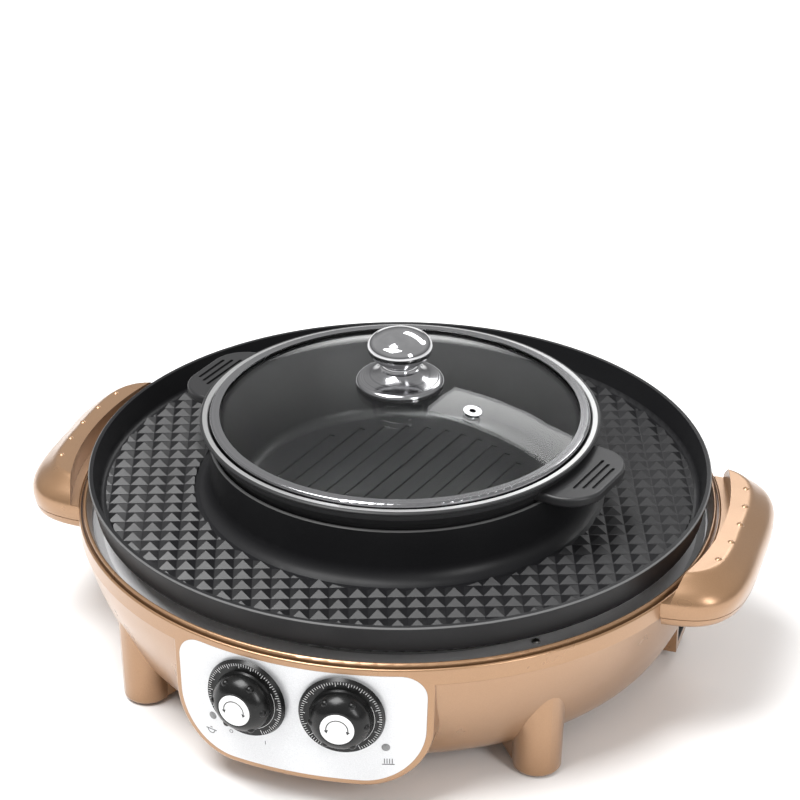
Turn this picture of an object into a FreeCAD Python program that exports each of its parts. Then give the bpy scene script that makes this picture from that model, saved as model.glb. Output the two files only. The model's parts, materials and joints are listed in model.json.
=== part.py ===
"""Table-top electric hot pot with a ring-shaped grill pan, a lift-out pot and a glass lid.

Millimetres. +Z runs up along the pot's axis from the surface that the feet stand on.
The control panel faces -Y and the carrying handles lie on +X and -X.
Each sub-part is written to parts/NODE.step.
"""
import FreeCAD, Part
import math
import os

V = FreeCAD.Vector
UP = V(0, 0, 1)
ORIGIN = V(0, 0, 0)

# ------------------------------------------------------------------ driving dimensions
# general
wall = 2.5                # moulded plastic walls
sheet = 0.8               # pressed reflector sheet
seat_gap = 0.3            # rest gap under a part that lifts off
slip = 0.1                # radial play of a screw or tube in its hole
parting_gap = 0.5         # visible line between two mouldings

# housing: band, rim ring and bowl
seam_r = 212.0            # groove between the rim ring and the band
seam_z = 104.0            # top of the band
groove_w = 1.6            # width of that groove
groove_d = 2.5            # its depth
band_t = 2.0              # band outside the middle of the groove
band_h = 11.0             # height of the band above the bowl
band_round = 1.0          # rounding of its top edge
rim_rise = 2.5            # rim ring above the band
rim_round = 1.1           # rounding of the rim ring's outer and inner edges
mouth_round = 0.9
well_r = 208.7            # mouth of the well inside the rim ring
lining_r = 205.8          # well lining below the mouth
lining_t = 1.8
lining_drop = 10.5        # band top down to the lining's lower edge
lip_t = 2.2               # band's inner lip that plugs into the bowl
lip_h = 7.0               # its reach below the parting line
bowl_set_in = 0.6         # bowl behind the band's face
floor_clear = 12.0        # underside of the bowl above the table
belly_r = 191.0           # where the bowl's flank turns under
belly_z = 32.0
keel_r = 164.0            # edge of the flat underside
flank_rise = 2.0          # bulge of the flank and of the turn under it
turn_rise = 4.0

# legs and feet
leg_angles = (-135, -45, 45, 135)
leg_pitch_r = 187.0
leg_foot_r = 15.5
leg_taper = 1.5           # leg radius gained at the bowl
leg_top_z = 62.0
leg_toe = 2.5             # rounding at the foot
web_reach = 34.0          # fin from the leg in under the bowl
web_rise = 22.0
foot_pad_r = 10.0
foot_pad_h = 3.0
foot_pad_edge = 0.8
foot_pad_proud = 1.0

# bottom cover
cover_r = 126.0
cover_hole_r = 118.0
cover_t = 2.0
cover_screws = 4
cover_screw_r = 122.0
cover_vents = 12
vent_r = 84.0
vent_w = 5.0
vent_l = 34.0

# control panel
bezel_half_w = 84.5
bezel_low_half_w = 82.5
bezel_low_z = 18.6
bezel_top_drop = 2.5
bezel_top_radius = 4.0
bezel_low_radius = 42.0
bezel_round = 2.0         # rounding of the bezel's outer edge
plate_half_w = 80.5
plate_low_half_w = 78.5
plate_low_z = 22.8
plate_top_drop = 4.4
plate_top_radius = 16.0
plate_low_radius = 38.0
plate_t = 1.2
plate_proud = 0.2
notch_lap = 7.0           # bezel beyond the notch in the bowl behind it
knob_azimuth = 8.15       # each side of the panel's middle
knob_z = 71.6
boss_r = 12.0
boss_l = 8.0
lamp_azimuth = 15.2
lamp_z = 48.2
lamp_r = 2.6
lamp_l = 14.0
lamp_nose = 1.5
lens_rise = 0.7

# control knobs
dial_r = 26.8
dial_t = 3.5
dial_gap = 0.9
dome_r = 19.8
dome_h = 13.0
dome_top_r = 11.8
dial_cap_r = 10.5
dial_cap_t = 1.8
dial_cap_sink = 0.9
dial_cap_edge = 0.5
dial_bevel = 1.0
dial_draft = 1.2          # skirt's face inside its edge
grip_step = 1.5           # upright foot of the dome
grip_draft = 0.6
grip_bulge = 2.2
shaft_r = 3.0
shaft_play = 0.05
shaft_in = 14.0           # reach of the shaft behind the boss
shaft_out = 11.5          # reach of the shaft into the knob
nub_r = 2.6                # raised finger nubs on the dome
nub_sink = 1.0             # their middles below the dome's face
nub_count = 6
nub_share = 0.55           # their height on the dome

# thermostats
stat_w = 32.0
stat_h = 21.0
stat_d = 22.0
tab_w = 6.3
tab_t = 0.8
tab_l = 9.0

# carrying handles
handle_half_w = 84.0
handle_reach = 32.0       # beyond the band at the middle
handle_low_drop = 17.0    # band top down to the handle's underside
handle_crest = 15.5       # flat top above the band's top
handle_split = 6.5        # underside up to the split line
handle_lip = 7.0          # height of the tucked lower edge
handle_lip_in = 4.0       # underside behind the fullest outline
handle_low_short = 2.7    # underside's ends inside the fullest outline
handle_side_z = 1.0       # top of the upright side, above the band's top
handle_top_in = 17.0      # flat top behind the fullest outline
handle_top_short = 14.0   # flat top's ends inside it
handle_root = 14.0        # form starts this far inside the band, before it is trimmed
handle_square = 3.7       # exponent of the rounded outline
handle_ledge = 5.5        # flush ledge between the band and the handle's inner wall
handle_screw_y = 51.0
handle_boss_r = 3.2
handle_boss_l = 10.0
base_screw_out = 16.0     # screws in the handle's underside, from the band
base_screw_y = 31.0
base_screw_l = 8.0        # grip in the boss
parting_d = 0.8           # depth of the groove on the split line
bump_out = 15.5           # grip bumps from the band
head_clear = 0.6          # screw head to the well's lining
bump_count = 5
bump_step = 5.85          # degrees from bump to bump
bump_r = 2.8
bump_h = 1.0

# power inlet, under the +X handle and towards the back
inlet_y = 29.0
inlet_w = 38.0
inlet_face_x = 191.0
inlet_low_z = 7.0
inlet_high_z = 50.0
inlet_deep = 26.0
socket_low_z = 12.0
socket_h = 30.0
socket_depth = 17.0
socket_wall = 1.5
socket_lap = 2.0          # flange beyond the opening
pin_r = 2.0
pin_pitch = 8.0
pin_step = 4.0            # earth contact above the middle, the other two below it
pin_recess = 4.0          # tips behind the socket's face
pin_tail = 8.0            # behind the socket's back

# reflector deck and inner bowl
deck_drop = 14.0
deck_flat_r = 199.0
deck_edge_r = 204.4
deck_flange_r = 207.4
bead_out_r = 175.7
bead_in_r = 168.6
bead_d = 1.0
bead_flank = 1.4
dish_out_r = 143.0
dish_in_r = 127.5
dish_d = 4.5
deck_hole_r = 126.0
pan_well_lap = 5.0
pan_well_r = 112.0
pan_well_d = 10.0         # deck down to the inner bowl's floor
deck_screw_r = 182.0
deck_screw_angles = (-135, -45, 45, 135)
deck_boss_r = 5.0
deck_slot_azimuth = 90.0
deck_slot_r = 191.0
deck_slot_l = 36.0
deck_slot_w = 8.0
slit_l = 9.0
slit_w = 1.6
slit_out = 12.0           # slit beside each of the outer heater's holes

# heaters
tube_r = 4.0
outer_loop_r = 159.0
outer_rise = 12.5         # tube's middle above the deck
outer_gap = 8.6           # degrees between the two ends
outer_middle = -90.3      # azimuth of the gap
inner_loop_r = 94.0
inner_rise = 17.0
inner_gap = 11.0
inner_middle = -86.8
heater_bend = 10.0
outer_tail = 26.0         # cold end below the loop's middle
inner_tail = 30.0
terminal_r = 1.4
terminal_l = 9.0
bush_t = 5.0
bush_wall = 3.0
hole_play = 1.0           # sheet's holes round the heaters' ends

# heater brackets
bracket_t = 1.2
bracket_l = 15.0
bracket_cap = 1.2         # bracket above the tube
bracket_foot_l = 13.0
bracket_foot_w = 13.0
outer_brackets = 9
outer_bracket_first = -70.3
inner_brackets = 8
inner_bracket_first = -64.3

# screws
screw_r = 1.5
screw_head_r = 2.9
screw_head_h = 1.7
screw_l = 6.5
slot_cut = 0.8

# grill pan
pan_lip_r = 206.5
pan_lip_h = 2.6
pan_lip_step = 1.1
pan_wall_h = 21.0
pan_heel_r = 203.0
pan_floor_t = 3.5
pan_side_t = 3.2
pan_heel_round = 3.0
pan_toe_round = 2.5       # inside corner at the floor
pan_edge = 0.7            # small edges of the lip and the collar
collar_t = 2.4
collar_rise = 19.0        # above the pan's lip
collar_foot = 7.6         # flare at the bottom of the collar
collar_foot_h = 11.0
collar_play = 0.9         # between the collar and the pot

# pot
pot_h = 62.0
pot_rim_r = 132.0
pot_flange_t = 3.2
pot_neck_r = 128.6
pot_neck_h = 4.0
pot_shoulder_r = 123.6
pot_shoulder_drop = 14.5
pot_heel_r = 109.5
pot_heel_h = 7.0
pot_base_r = 103.0
pot_wall = 2.8
pot_heel_bulge = 1.6
pot_edge = 0.8            # small edges of the flange
flange_draft = 1.6        # slope of the flange's underside
pot_floor_t = 3.5
recess_r = 126.3          # seat for the lid inside the rim
recess_d = 5.0
ledge_r = 120.5
rib_circle_r = 88.0
rib_pitch = 13.0
rib_w = 4.4
rib_d = 1.0
ear_azimuth = -13.0
ear_half_w = 37.0
ear_reach_r = 156.0
ear_round = 24.0
ear_t = 7.0
ear_drop = 7.0            # pot rim down to the ear's top
ear_slots = 3
ear_slot_pitch = 5.2
ear_slot_first = 139.5
ear_slot_half = 20.0
ear_slot_w = 2.2
ear_slot_d = 1.6
ear_slot_fade = 3.0       # each slot shorter than the one inside it, at each end
ear_root = 4.0            # ear's reach inside the pot's shoulder

# lid
lid_play = 1.0
band_sheet = 0.9
band_lap = 6.4
band_edge = 0.8
band_curl = 1.2
gasket_edge = 2.0
gasket_lip = 0.7
gasket_back = 0.4         # band beyond the gasket
glass_t = 4.0
glass_dome = 22.0
glass_shoulder = 4.5
vent_hole_r = 3.6
vent_pitch_r = 57.0
vent_azimuth = -18.0
eyelet_r = 6.0
eyelet_t = 0.9
eyelet_bore_r = 2.3
eyelet_play = 0.06        # the flat flange under the curved glass

# lid knob
bell_r = 29.0
bell_h = 10.0
bell_neck_r = 13.5
bell_t = 1.2
bell_rim_h = 2.4          # upright rim
bell_shoulder = 4.0
bell_bulge = 0.8
cap_neck_r = 11.0
cap_r = 20.8
cap_neck_h = 4.0
cap_foot = 1.6            # flare of the neck's foot
cap_flare_h = 8.5         # neck up to the widest place
cap_brow = 0.78           # crown's edge as a share of the widest radius
cap_crown = 4.6           # height of the crown
cap_h = 27.0
stud_r = 2.5
stud_in = 14.0
stud_play = 0.4           # stud in the glass, the pad and the bell
stud_head_r = 6.5
stud_head_edge = 1.2
stud_slot_w = 1.2
stud_head_h = 2.4
pad_r = 9.0
pad_t = 1.2

# terminal block, thermal fuse and wiring
block_poles = 5
block_l = 40.0
block_w = 16.0
block_h = 14.0
block_hole_d = 5.0
block_x = 112.0
block_y = 30.0
fuse_r = 3.0
fuse_l = 14.0
fuse_lead_r = 1.0
fuse_lead_l = 6.0
fuse_x = 38.0
fuse_y = -20.0
wire_r = 1.3
wire_bend = 5.0
wire_lift = 12.0          # straight lead out of a terminal
wire_step = 3.2           # height between two wires that cross
wire_aside = 9.0          # one wire passes beside the other at the pot's thermostat

# ------------------------------------------------------------------ levels that follow
band_r = seam_r + band_t
groove_out_r = seam_r + groove_w / 2
rim_out_r = seam_r - groove_w / 2
shelf_z = seam_z - groove_d
rim_top_z = seam_z + rim_rise
band_low_z = seam_z - band_h
bowl_top_z = band_low_z - parting_gap
bowl_top_r = band_r - bowl_set_in
deck_z = seam_z - deck_drop
well_floor_z = deck_z - pan_well_d
outer_heater_z = deck_z + outer_rise
inner_heater_z = well_floor_z + inner_rise
outer_bracket_top = outer_heater_z + tube_r + bracket_cap
inner_bracket_top = inner_heater_z + tube_r + bracket_cap
pan_z = outer_bracket_top + seat_gap
pan_rim_z = pan_z + pan_wall_h
pan_floor_z = pan_z + pan_floor_t
collar_top_z = pan_rim_z + collar_rise
pot_z = inner_bracket_top + seat_gap
pot_rim_z = pot_z + pot_h
pot_floor_z = pot_z + pot_floor_t
ledge_z = pot_rim_z - recess_d
lid_z = ledge_z + seat_gap
lid_r = recess_r - lid_play
skin_r = band_r - wall
plate_face_r = band_r + plate_proud
dial_back = plate_face_r + dial_gap


# ------------------------------------------------------------------ shape helpers
def bulged(start, end, rise):
    """Middle of the chord from start to end, moved to the chord's right by rise."""
    dx = end[0] - start[0]
    dz = end[1] - start[1]
    length = math.hypot(dx, dz)
    return ((start[0] + end[0]) / 2 + rise * dz / length, (start[1] + end[1]) / 2 - rise * dx / length)


def crown(radius, low, rise):
    """Arc step of a spherical crown that ends on the axis, rise above low."""
    big = (radius ** 2 + rise ** 2) / (2 * rise)
    half = math.asin(radius / big) / 2
    return (big * math.sin(half), low + rise - big + big * math.cos(half)), (0, low + rise)


def turned(start, *steps):
    """Solid of revolution about Z. A step is (r, z), or ((r, z) on an arc, (r, z) at its end)."""
    edges = []
    here = V(start[0], 0, start[1])
    for step in steps + (start,):
        if isinstance(step[0], tuple):
            middle = V(step[0][0], 0, step[0][1])
            there = V(step[1][0], 0, step[1][1])
            edges.append(Part.Arc(here, middle, there).toShape())
        else:
            there = V(step[0], 0, step[1])
            if (there - here).Length < 1e-6:
                continue
            edges.append(Part.LineSegment(here, there).toShape())
        here = there
    return Part.Face(Part.Wire(edges)).revolve(ORIGIN, UP, 360)


def ring(outer, inner, low, high):
    return turned((inner, low), (outer, low), (outer, high), (inner, high))


def cylinder(radius, low, high, x=0.0, y=0.0):
    return Part.makeCylinder(radius, high - low, V(x, y, low))


def block(x, y, z):
    """Box between the pairs x, y and z."""
    return Part.makeBox(x[1] - x[0], y[1] - y[0], z[1] - z[0], V(x[0], y[0], z[0]))


def spun(shape, degrees):
    copy = shape.copy()
    copy.rotate(ORIGIN, UP, degrees)
    return copy


def moved(shape, x, y, z):
    copy = shape.copy()
    copy.translate(V(x, y, z))
    return copy


def spaced(first, count):
    return [first + 360.0 * index / count for index in range(count)]


def out_of_panel(shape, azimuth, level):
    """Lay a shape built along +Z from the pot's axis along the radius at azimuth from -Y."""
    copy = shape.copy()
    copy.rotate(ORIGIN, V(0, 1, 0), 90)
    copy.translate(V(0, 0, level))
    copy.rotate(ORIGIN, UP, azimuth - 90)
    return copy


def fused(shapes):
    whole = shapes[0]
    if len(shapes) > 1:
        whole = shapes[0].multiFuse(list(shapes[1:]))
    return whole.removeSplitter()


def tube(points, radius, bend):
    """Round bar along straight runs joined by tangent arcs of one bend radius."""
    pieces = []
    start = points[0]
    for index in range(1, len(points)):
        corner = points[index]
        if index == len(points) - 1:
            pieces.append(Part.makeCylinder(radius, (corner - start).Length, start, corner - start))
            break
        incoming = (corner - start).normalize()
        outgoing = (points[index + 1] - corner).normalize()
        turn = incoming.getAngle(outgoing)
        setback = bend * math.tan(turn / 2)
        first = corner - incoming * setback
        second = corner + outgoing * setback
        pieces.append(Part.makeCylinder(radius, (first - start).Length, start, incoming))
        axis = incoming.cross(outgoing).normalize()
        centre = first + axis.cross(incoming) * bend
        disc = Part.Face(Part.Wire(Part.makeCircle(radius, first, incoming)))
        pieces.append(disc.revolve(centre, axis, math.degrees(turn)))
        start = second
    return fused(pieces)


def save(name, *solids):
    """Write one node. Several solids stay separate in it."""
    shape = solids[0] if len(solids) == 1 else Part.makeCompound(list(solids))
    shape.exportStep("parts/" + name + ".step")


def screw(length=screw_l):
    """Slotted pan-head screw, head up, with the underside of its head at z = 0."""
    head = turned(
        (0, 0),
        (screw_head_r, 0),
        (bulged((screw_head_r, 0), (screw_head_r * 0.6, screw_head_h), screw_head_h * 0.12),
         (screw_head_r * 0.6, screw_head_h)),
        (0, screw_head_h),
    )
    slot = block((-screw_head_r, screw_head_r), (-slot_cut / 2, slot_cut / 2),
                 (screw_head_h - slot_cut, screw_head_h + 1))
    return fused([head.cut(slot), cylinder(screw_r, -length, 0)])


# ------------------------------------------------------------------ bowl with legs
def bowl_solid(inset, top):
    """The bowl's outer form, drawn in by inset and filled up to top."""
    t = (bowl_top_r - inset, top)
    k = (belly_r - inset * 0.95, belly_z + inset * 0.4)
    b = (keel_r - inset * 0.5, floor_clear + inset)
    return turned((0, b[1]), b, (bulged(b, k, turn_rise), k), (bulged(k, t, flank_rise), t), (0, top))


def leg_form(inset):
    """Round leg with a fin that runs in under the bowl, built on +X."""
    radius = leg_foot_r - inset
    low = foot_pad_h + inset if inset else foot_pad_proud
    column = turned(
        (0, low),
        (radius - leg_toe, low),
        (bulged((radius - leg_toe, low), (radius, low + leg_toe), leg_toe * 0.2), (radius, low + leg_toe)),
        (radius + leg_taper, leg_top_z),
        (0, leg_top_z),
    )
    column.translate(V(leg_pitch_r, 0, 0))
    fin_in = leg_pitch_r - web_reach + inset
    side = [V(fin_in, 0, floor_clear + web_rise), V(fin_in, 0, floor_clear + inset),
            V(leg_pitch_r - leg_foot_r * 0.5, 0, low + leg_toe), V(leg_pitch_r, 0, low + leg_toe),
            V(leg_pitch_r, 0, leg_top_z)]
    face = Part.Face(Part.makePolygon(side + [side[0]]))
    fin = face.extrude(V(0, 2 * (radius - leg_toe), 0))
    fin.translate(V(0, -(radius - leg_toe), 0))
    return column.fuse(fin)


def inlet_window():
    """Y and Z limits of the opening that the socket fills."""
    return ((inlet_y - inlet_w / 2 + 2 * wall, inlet_y + inlet_w / 2 - 2 * wall),
            (socket_low_z, socket_low_z + socket_h))


def lower_shell():
    y = (inlet_y - inlet_w / 2, inlet_y + inlet_w / 2)
    outside = [bowl_solid(0, bowl_top_z)]
    outside += [spun(leg_form(0), angle) for angle in leg_angles]
    outside.append(block((keel_r - inlet_deep, inlet_face_x), y, (inlet_low_z, inlet_high_z)))
    hollow = [bowl_solid(wall, bowl_top_z)]
    hollow += [spun(leg_form(wall), angle) for angle in leg_angles]
    hollow.append(block((keel_r - inlet_deep, inlet_face_x - wall), (y[0] + wall, y[1] - wall),
                        (inlet_low_z + wall, inlet_high_z - wall)))
    shell = fused(outside).cut(fused(hollow))
    (y_low, y_high), (z_low, z_high) = inlet_window()
    surround = block((inlet_face_x - wall, band_r), (y_low - wall, y_high + wall), (z_low - wall, z_high + wall))
    shell = shell.fuse(surround.common(bowl_solid(0, bowl_top_z)))
    cuts = [block((inlet_face_x - wall - 1, band_r), (y_low, y_high), (z_low, z_high)),
            cylinder(cover_hole_r, 0, floor_clear + wall + 1),
            bezel_form(notch_lap),
            bezel_form(-slip).cut(cylinder(skin_r - slip, 0, rim_top_z))]
    cuts += [spun(cylinder(foot_pad_r, 0, foot_pad_h, leg_pitch_r), angle) for angle in leg_angles]
    cuts += [spun(cylinder(screw_r + slip, 0, floor_clear + wall + 1, cover_screw_r), angle)
             for angle in spaced(45, cover_screws)]
    shell = shell.cut(cuts)
    bosses = []
    room = fused([bowl_solid(wall / 2, bowl_top_z)] + [spun(leg_form(wall / 2), angle) for angle in leg_angles])
    for angle in deck_screw_angles:
        boss = cylinder(deck_boss_r, 0, deck_z - sheet, deck_screw_r)
        boss = boss.cut(cylinder(screw_r, deck_z - screw_l - 2, deck_z, deck_screw_r))
        bosses.append(spun(boss, angle).common(room))
    return shell.fuse(bosses).removeSplitter()


def rubber_feet():
    pad = turned(
        (0, 0),
        (foot_pad_r - foot_pad_edge, 0),
        (foot_pad_r, foot_pad_edge),
        (foot_pad_r, foot_pad_h),
        (0, foot_pad_h),
    )
    pad.translate(V(leg_pitch_r, 0, 0))
    return [spun(pad, angle) for angle in leg_angles]


def bottom_cover():
    cover = cylinder(cover_r, floor_clear - cover_t, floor_clear)
    for angle in spaced(0, cover_vents):
        vent = block((vent_r - vent_l / 2, vent_r + vent_l / 2), (-vent_w / 2, vent_w / 2),
                     (0, floor_clear + 1))
        cover = cover.cut(spun(vent, angle))
    for angle in spaced(45, cover_screws):
        cover = cover.cut(spun(cylinder(screw_r + slip, 0, floor_clear + 1, cover_screw_r), angle))
    return cover


def cover_screw_set():
    one = screw(cover_t + wall + 1)
    one.rotate(ORIGIN, V(1, 0, 0), 180)
    one.translate(V(cover_screw_r, 0, floor_clear - cover_t))
    return [spun(one, angle) for angle in spaced(45, cover_screws)]


# ------------------------------------------------------------------ band, bezel and rim ring
def shield(half_top, half_low, low, high, top_radius, low_radius):
    """Panel outline in X and Z, run along Y through the front of the housing."""
    corners = [V(-half_low, 0, low), V(half_low, 0, low), V(half_top, 0, high), V(-half_top, 0, high)]
    prism = Part.Face(Part.makePolygon(corners + [corners[0]])).extrude(V(0, -band_r, 0))
    prism.translate(V(0, -keel_r * 0.7, 0))
    runs = [edge for edge in prism.Edges if abs(edge.tangentAt(edge.FirstParameter).y) > 0.99]
    lower = [edge for edge in runs if edge.CenterOfMass.z < (low + high) / 2]
    upper = [edge for edge in runs if edge.CenterOfMass.z >= (low + high) / 2]
    return prism.makeFillet(low_radius, lower).makeFillet(top_radius, upper)


def bezel_form(inset):
    return shield(bezel_half_w - inset, bezel_low_half_w - inset, bezel_low_z + inset,
                  seam_z - bezel_top_drop, bezel_top_radius, bezel_low_radius - inset)


def plate_form(inset):
    return shield(plate_half_w - inset, plate_low_half_w - inset, plate_low_z + inset,
                  seam_z - plate_top_drop - inset, plate_top_radius - inset, plate_low_radius - inset)


def on_band_face(edge):
    """Whether an edge lies on the band's face all along."""
    ends = [edge.valueAt(edge.FirstParameter), edge.valueAt(edge.LastParameter)]
    return all(abs(math.hypot(point.x, point.y) - band_r) < 0.01 for point in ends)


def upper_housing():
    lip_out = bowl_top_r - wall - slip
    band = turned(
        (lip_out - lip_t, bowl_top_z),
        (lip_out, bowl_top_z),
        (lip_out, band_low_z),
        (band_r, band_low_z),
        (band_r, seam_z - band_round),
        (bulged((band_r, seam_z - band_round), (band_r - band_round, seam_z), band_round * 0.2),
         (band_r - band_round, seam_z)),
        (groove_out_r, seam_z),
        (groove_out_r, shelf_z),
        (lining_r + lining_t + slip, shelf_z),
        (lining_r + lining_t + slip, shelf_z - wall),
        (lip_out - lip_t, shelf_z - wall - 1.0),
    )
    lip = bowl_solid(wall + slip, bowl_top_z).cut(bowl_solid(wall + slip + lip_t, bowl_top_z))
    lip = lip.cut(cylinder(band_r, 0, bowl_top_z - lip_h))
    front = cylinder(band_r, 0, seam_z)
    skin = bezel_form(0).common(front)
    rims = [edge for edge in skin.Edges if on_band_face(edge)]
    skin = skin.makeFillet(bezel_round, rims)
    inside = bezel_form(wall).common(cylinder(skin_r, 0, seam_z))
    walls = skin.cut(inside).cut(bowl_solid(-slip, bowl_top_z + slip))
    walls = walls.cut(cylinder(lip_out, bowl_top_z, rim_top_z))
    bezel = walls.fuse(skin.cut(cylinder(skin_r, 0, seam_z)))
    bosses = []
    for side in (-1, 1):
        boss = Part.makeCylinder(boss_r, boss_l, V(0, 0, skin_r - boss_l + wall / 2))
        bosses.append(out_of_panel(boss, side * knob_azimuth, knob_z))
    housing = band.fuse([lip, bezel] + bosses)
    housing = housing.cut(plate_form(-slip).cut(cylinder(band_r - plate_t + plate_proud, 0, seam_z)))
    for side in (-1, 1):
        bore = Part.makeCylinder(shaft_r + slip * 3, band_r, V(0, 0, skin_r - boss_l - 5))
        housing = housing.cut(out_of_panel(bore, side * knob_azimuth, knob_z))
        port = Part.makeCylinder(lamp_r + slip, band_r, V(0, 0, skin_r - lamp_l))
        housing = housing.cut(out_of_panel(port, side * lamp_azimuth, lamp_z))
    for side in (0, 180):
        for y in (-handle_screw_y, handle_screw_y):
            bore = Part.makeCylinder(screw_r + slip, band_h, V(handle_screw_seat(), y, handle_screw_z()),
                                     V(1, 0, 0))
            well = Part.makeCylinder(screw_head_r + 2 * slip, band_h,
                                     V(handle_screw_seat() - band_h, y, handle_screw_z()), V(1, 0, 0))
            housing = housing.cut([spun(bore, side), spun(well, side)])
    return housing.removeSplitter()


def rim_ring():
    brow = (rim_out_r - rim_round, rim_top_z)
    mouth = (well_r + mouth_round, rim_top_z)
    throat = (well_r, rim_top_z - mouth_round)
    return turned(
        (lining_r, seam_z - lining_drop),
        (lining_r + lining_t, seam_z - lining_drop),
        (lining_r + lining_t, shelf_z),
        (rim_out_r, shelf_z),
        (rim_out_r, rim_top_z - rim_round),
        (bulged((rim_out_r, rim_top_z - rim_round), brow, rim_round * 0.2), brow),
        mouth,
        (bulged(mouth, throat, mouth_round * 0.2), throat),
        (lining_r, shelf_z - wall),
    )


# ------------------------------------------------------------------ panel plate, lamps, thermostats
def panel_plate():
    face = cylinder(plate_face_r, 0, seam_z).cut(cylinder(band_r - plate_t + plate_proud, 0, seam_z))
    plate = plate_form(0).common(face)
    for side in (-1, 1):
        bore = Part.makeCylinder(shaft_r + slip * 3, band_r, V(0, 0, skin_r - 5))
        plate = plate.cut(out_of_panel(bore, side * knob_azimuth, knob_z))
        port = Part.makeCylinder(lamp_r + slip, band_r, V(0, 0, skin_r - 5))
        plate = plate.cut(out_of_panel(port, side * lamp_azimuth, lamp_z))
    return plate


def indicator_lenses():
    lens = turned(
        (0, skin_r - 1.0),
        (lamp_r, skin_r - 1.0),
        (lamp_r, plate_face_r),
        crown(lamp_r, plate_face_r, lens_rise),
    )
    return [out_of_panel(lens, side * lamp_azimuth, lamp_z) for side in (-1, 1)]


def indicator_lamps():
    lamp = turned(
        (0, skin_r - 1.0 - lamp_l),
        (lamp_r, skin_r - 1.0 - lamp_l),
        (lamp_r, skin_r - 1.0 - lamp_nose),
        crown(lamp_r, skin_r - 1.0 - lamp_nose, lamp_nose),
    )
    return [out_of_panel(lamp, side * lamp_azimuth, lamp_z) for side in (-1, 1)]


def thermostat(side):
    """Adjustable thermostat behind the panel, with a bore that its spindle turns in."""
    face = skin_r - boss_l + wall / 2
    body = block((-stat_h / 2, stat_h / 2), (-stat_w / 2, stat_w / 2), (face - stat_d, face))
    tabs = [block((x - tab_t / 2, x + tab_t / 2), (-tab_w / 2, tab_w / 2),
                  (face - stat_d - tab_l, face - stat_d)) for x in (-stat_h / 4, stat_h / 4)]
    body = body.fuse(tabs)
    body = body.cut(Part.makeCylinder(shaft_r + shaft_play, shaft_in + 1, V(0, 0, face - shaft_in)))
    return out_of_panel(body, side * knob_azimuth, knob_z)


# ------------------------------------------------------------------ control knobs
def knob_shaft(side):
    start = skin_r - boss_l + wall / 2 - shaft_in
    length = dial_back + shaft_out - start
    return out_of_panel(Part.makeCylinder(shaft_r, length, V(0, 0, start)), side * knob_azimuth, knob_z)


def knob_dial(side):
    """Skirted knob: a flat scale ring and a domed grip with raised nubs."""
    face = dial_back + dial_t
    top = face + dome_h
    foot = (dome_r - grip_draft, face + grip_step)
    seat = top - dial_cap_t + dial_cap_sink
    dial = turned(
        (0, dial_back),
        (dial_r - dial_bevel, dial_back),
        (dial_r, dial_back + dial_bevel),
        (dial_r - dial_draft, face),
        (dome_r, face),
        foot,
        (bulged(foot, (dome_top_r, top), grip_bulge), (dome_top_r, top)),
        (dial_cap_r, top),
        (dial_cap_r, seat),
        (0, seat),
    )
    dial = dial.cut(ring(dial_r - 2 * wall, shaft_r + wall, dial_back - 1, dial_back + dial_t * 0.6))
    height = face + grip_step + (dome_h - grip_step) * nub_share
    flank = foot[0] + (dome_top_r - foot[0]) * nub_share + grip_bulge
    nubs = [spun(Part.makeSphere(nub_r, V(flank - nub_sink, 0, height)), angle)
            for angle in spaced(180.0 / nub_count, nub_count)]
    dial = dial.fuse(nubs)
    dial = dial.cut(Part.makeCylinder(shaft_r, shaft_out, V(0, 0, dial_back)))
    return out_of_panel(dial.removeSplitter(), side * knob_azimuth, knob_z)


def knob_cap(side):
    low = dial_back + dial_t + dome_h - dial_cap_t + dial_cap_sink
    cap = turned(
        (0, low),
        (dial_cap_r, low),
        (dial_cap_r, low + dial_cap_t - dial_cap_edge),
        (dial_cap_r - dial_cap_edge, low + dial_cap_t),
        (0, low + dial_cap_t),
    )
    return out_of_panel(cap, side * knob_azimuth, knob_z)


# ------------------------------------------------------------------ carrying handles
def band_x(y):
    return math.sqrt(band_r ** 2 - y ** 2)


def handle_screw_z():
    return band_low_z + band_h * 0.45


def handle_screw_seat():
    """Counterbored seat of a handle screw, clear of the well's lining."""
    inner = lining_r + lining_t + head_clear
    return math.sqrt(inner ** 2 - (handle_screw_y - screw_head_r) ** 2) + screw_head_h


def handle_outline(reach, half, level):
    """Closed outline at one level: a squared-off curve round the outside, straight inside the band."""
    root_x = band_x(handle_half_w) - handle_root
    points = []
    for degrees in range(-90, 91, 15):
        turn = math.radians(degrees)
        out = max(math.cos(turn), 0.0) ** (2 / handle_square)
        along = math.copysign(abs(math.sin(turn)) ** (2 / handle_square), turn)
        points.append(V(root_x + (reach - root_x) * out, half * along, level))
    curve = Part.BSplineCurve()
    curve.interpolate(points)
    return Part.Wire([curve.toShape(), Part.LineSegment(points[-1], points[0]).toShape()])


def handle_form(inset):
    """Handle body on +X as a loft of level outlines: tucked underside, upright side, sloped shoulder."""
    reach = band_x(0) + handle_reach - inset
    half = handle_half_w - inset
    low = seam_z - handle_low_drop
    side_top = seam_z + handle_side_z
    crest = seam_z + handle_crest - inset
    rows = [(low + inset, handle_lip_in, handle_low_short), (low + handle_lip * 0.4 + inset, 1.2, 0.8),
            (low + handle_lip + inset, 0, 0), (side_top, 0.3, 0.2)]
    for up, inward in ((0.3, 0.2), (0.55, 0.45), (0.82, 0.72), (1.0, 1.0)):
        rows.append((side_top + (crest - side_top) * up, handle_top_in * inward, handle_top_short * inward))
    return Part.makeLoft([handle_outline(reach - back, half - short, level) for level, back, short in rows], True)


def handle_split_z():
    return seam_z - handle_low_drop + handle_split


def handle_base_spots():
    return [(band_x(0) + base_screw_out, y) for y in (-base_screw_y, base_screw_y)]


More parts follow.
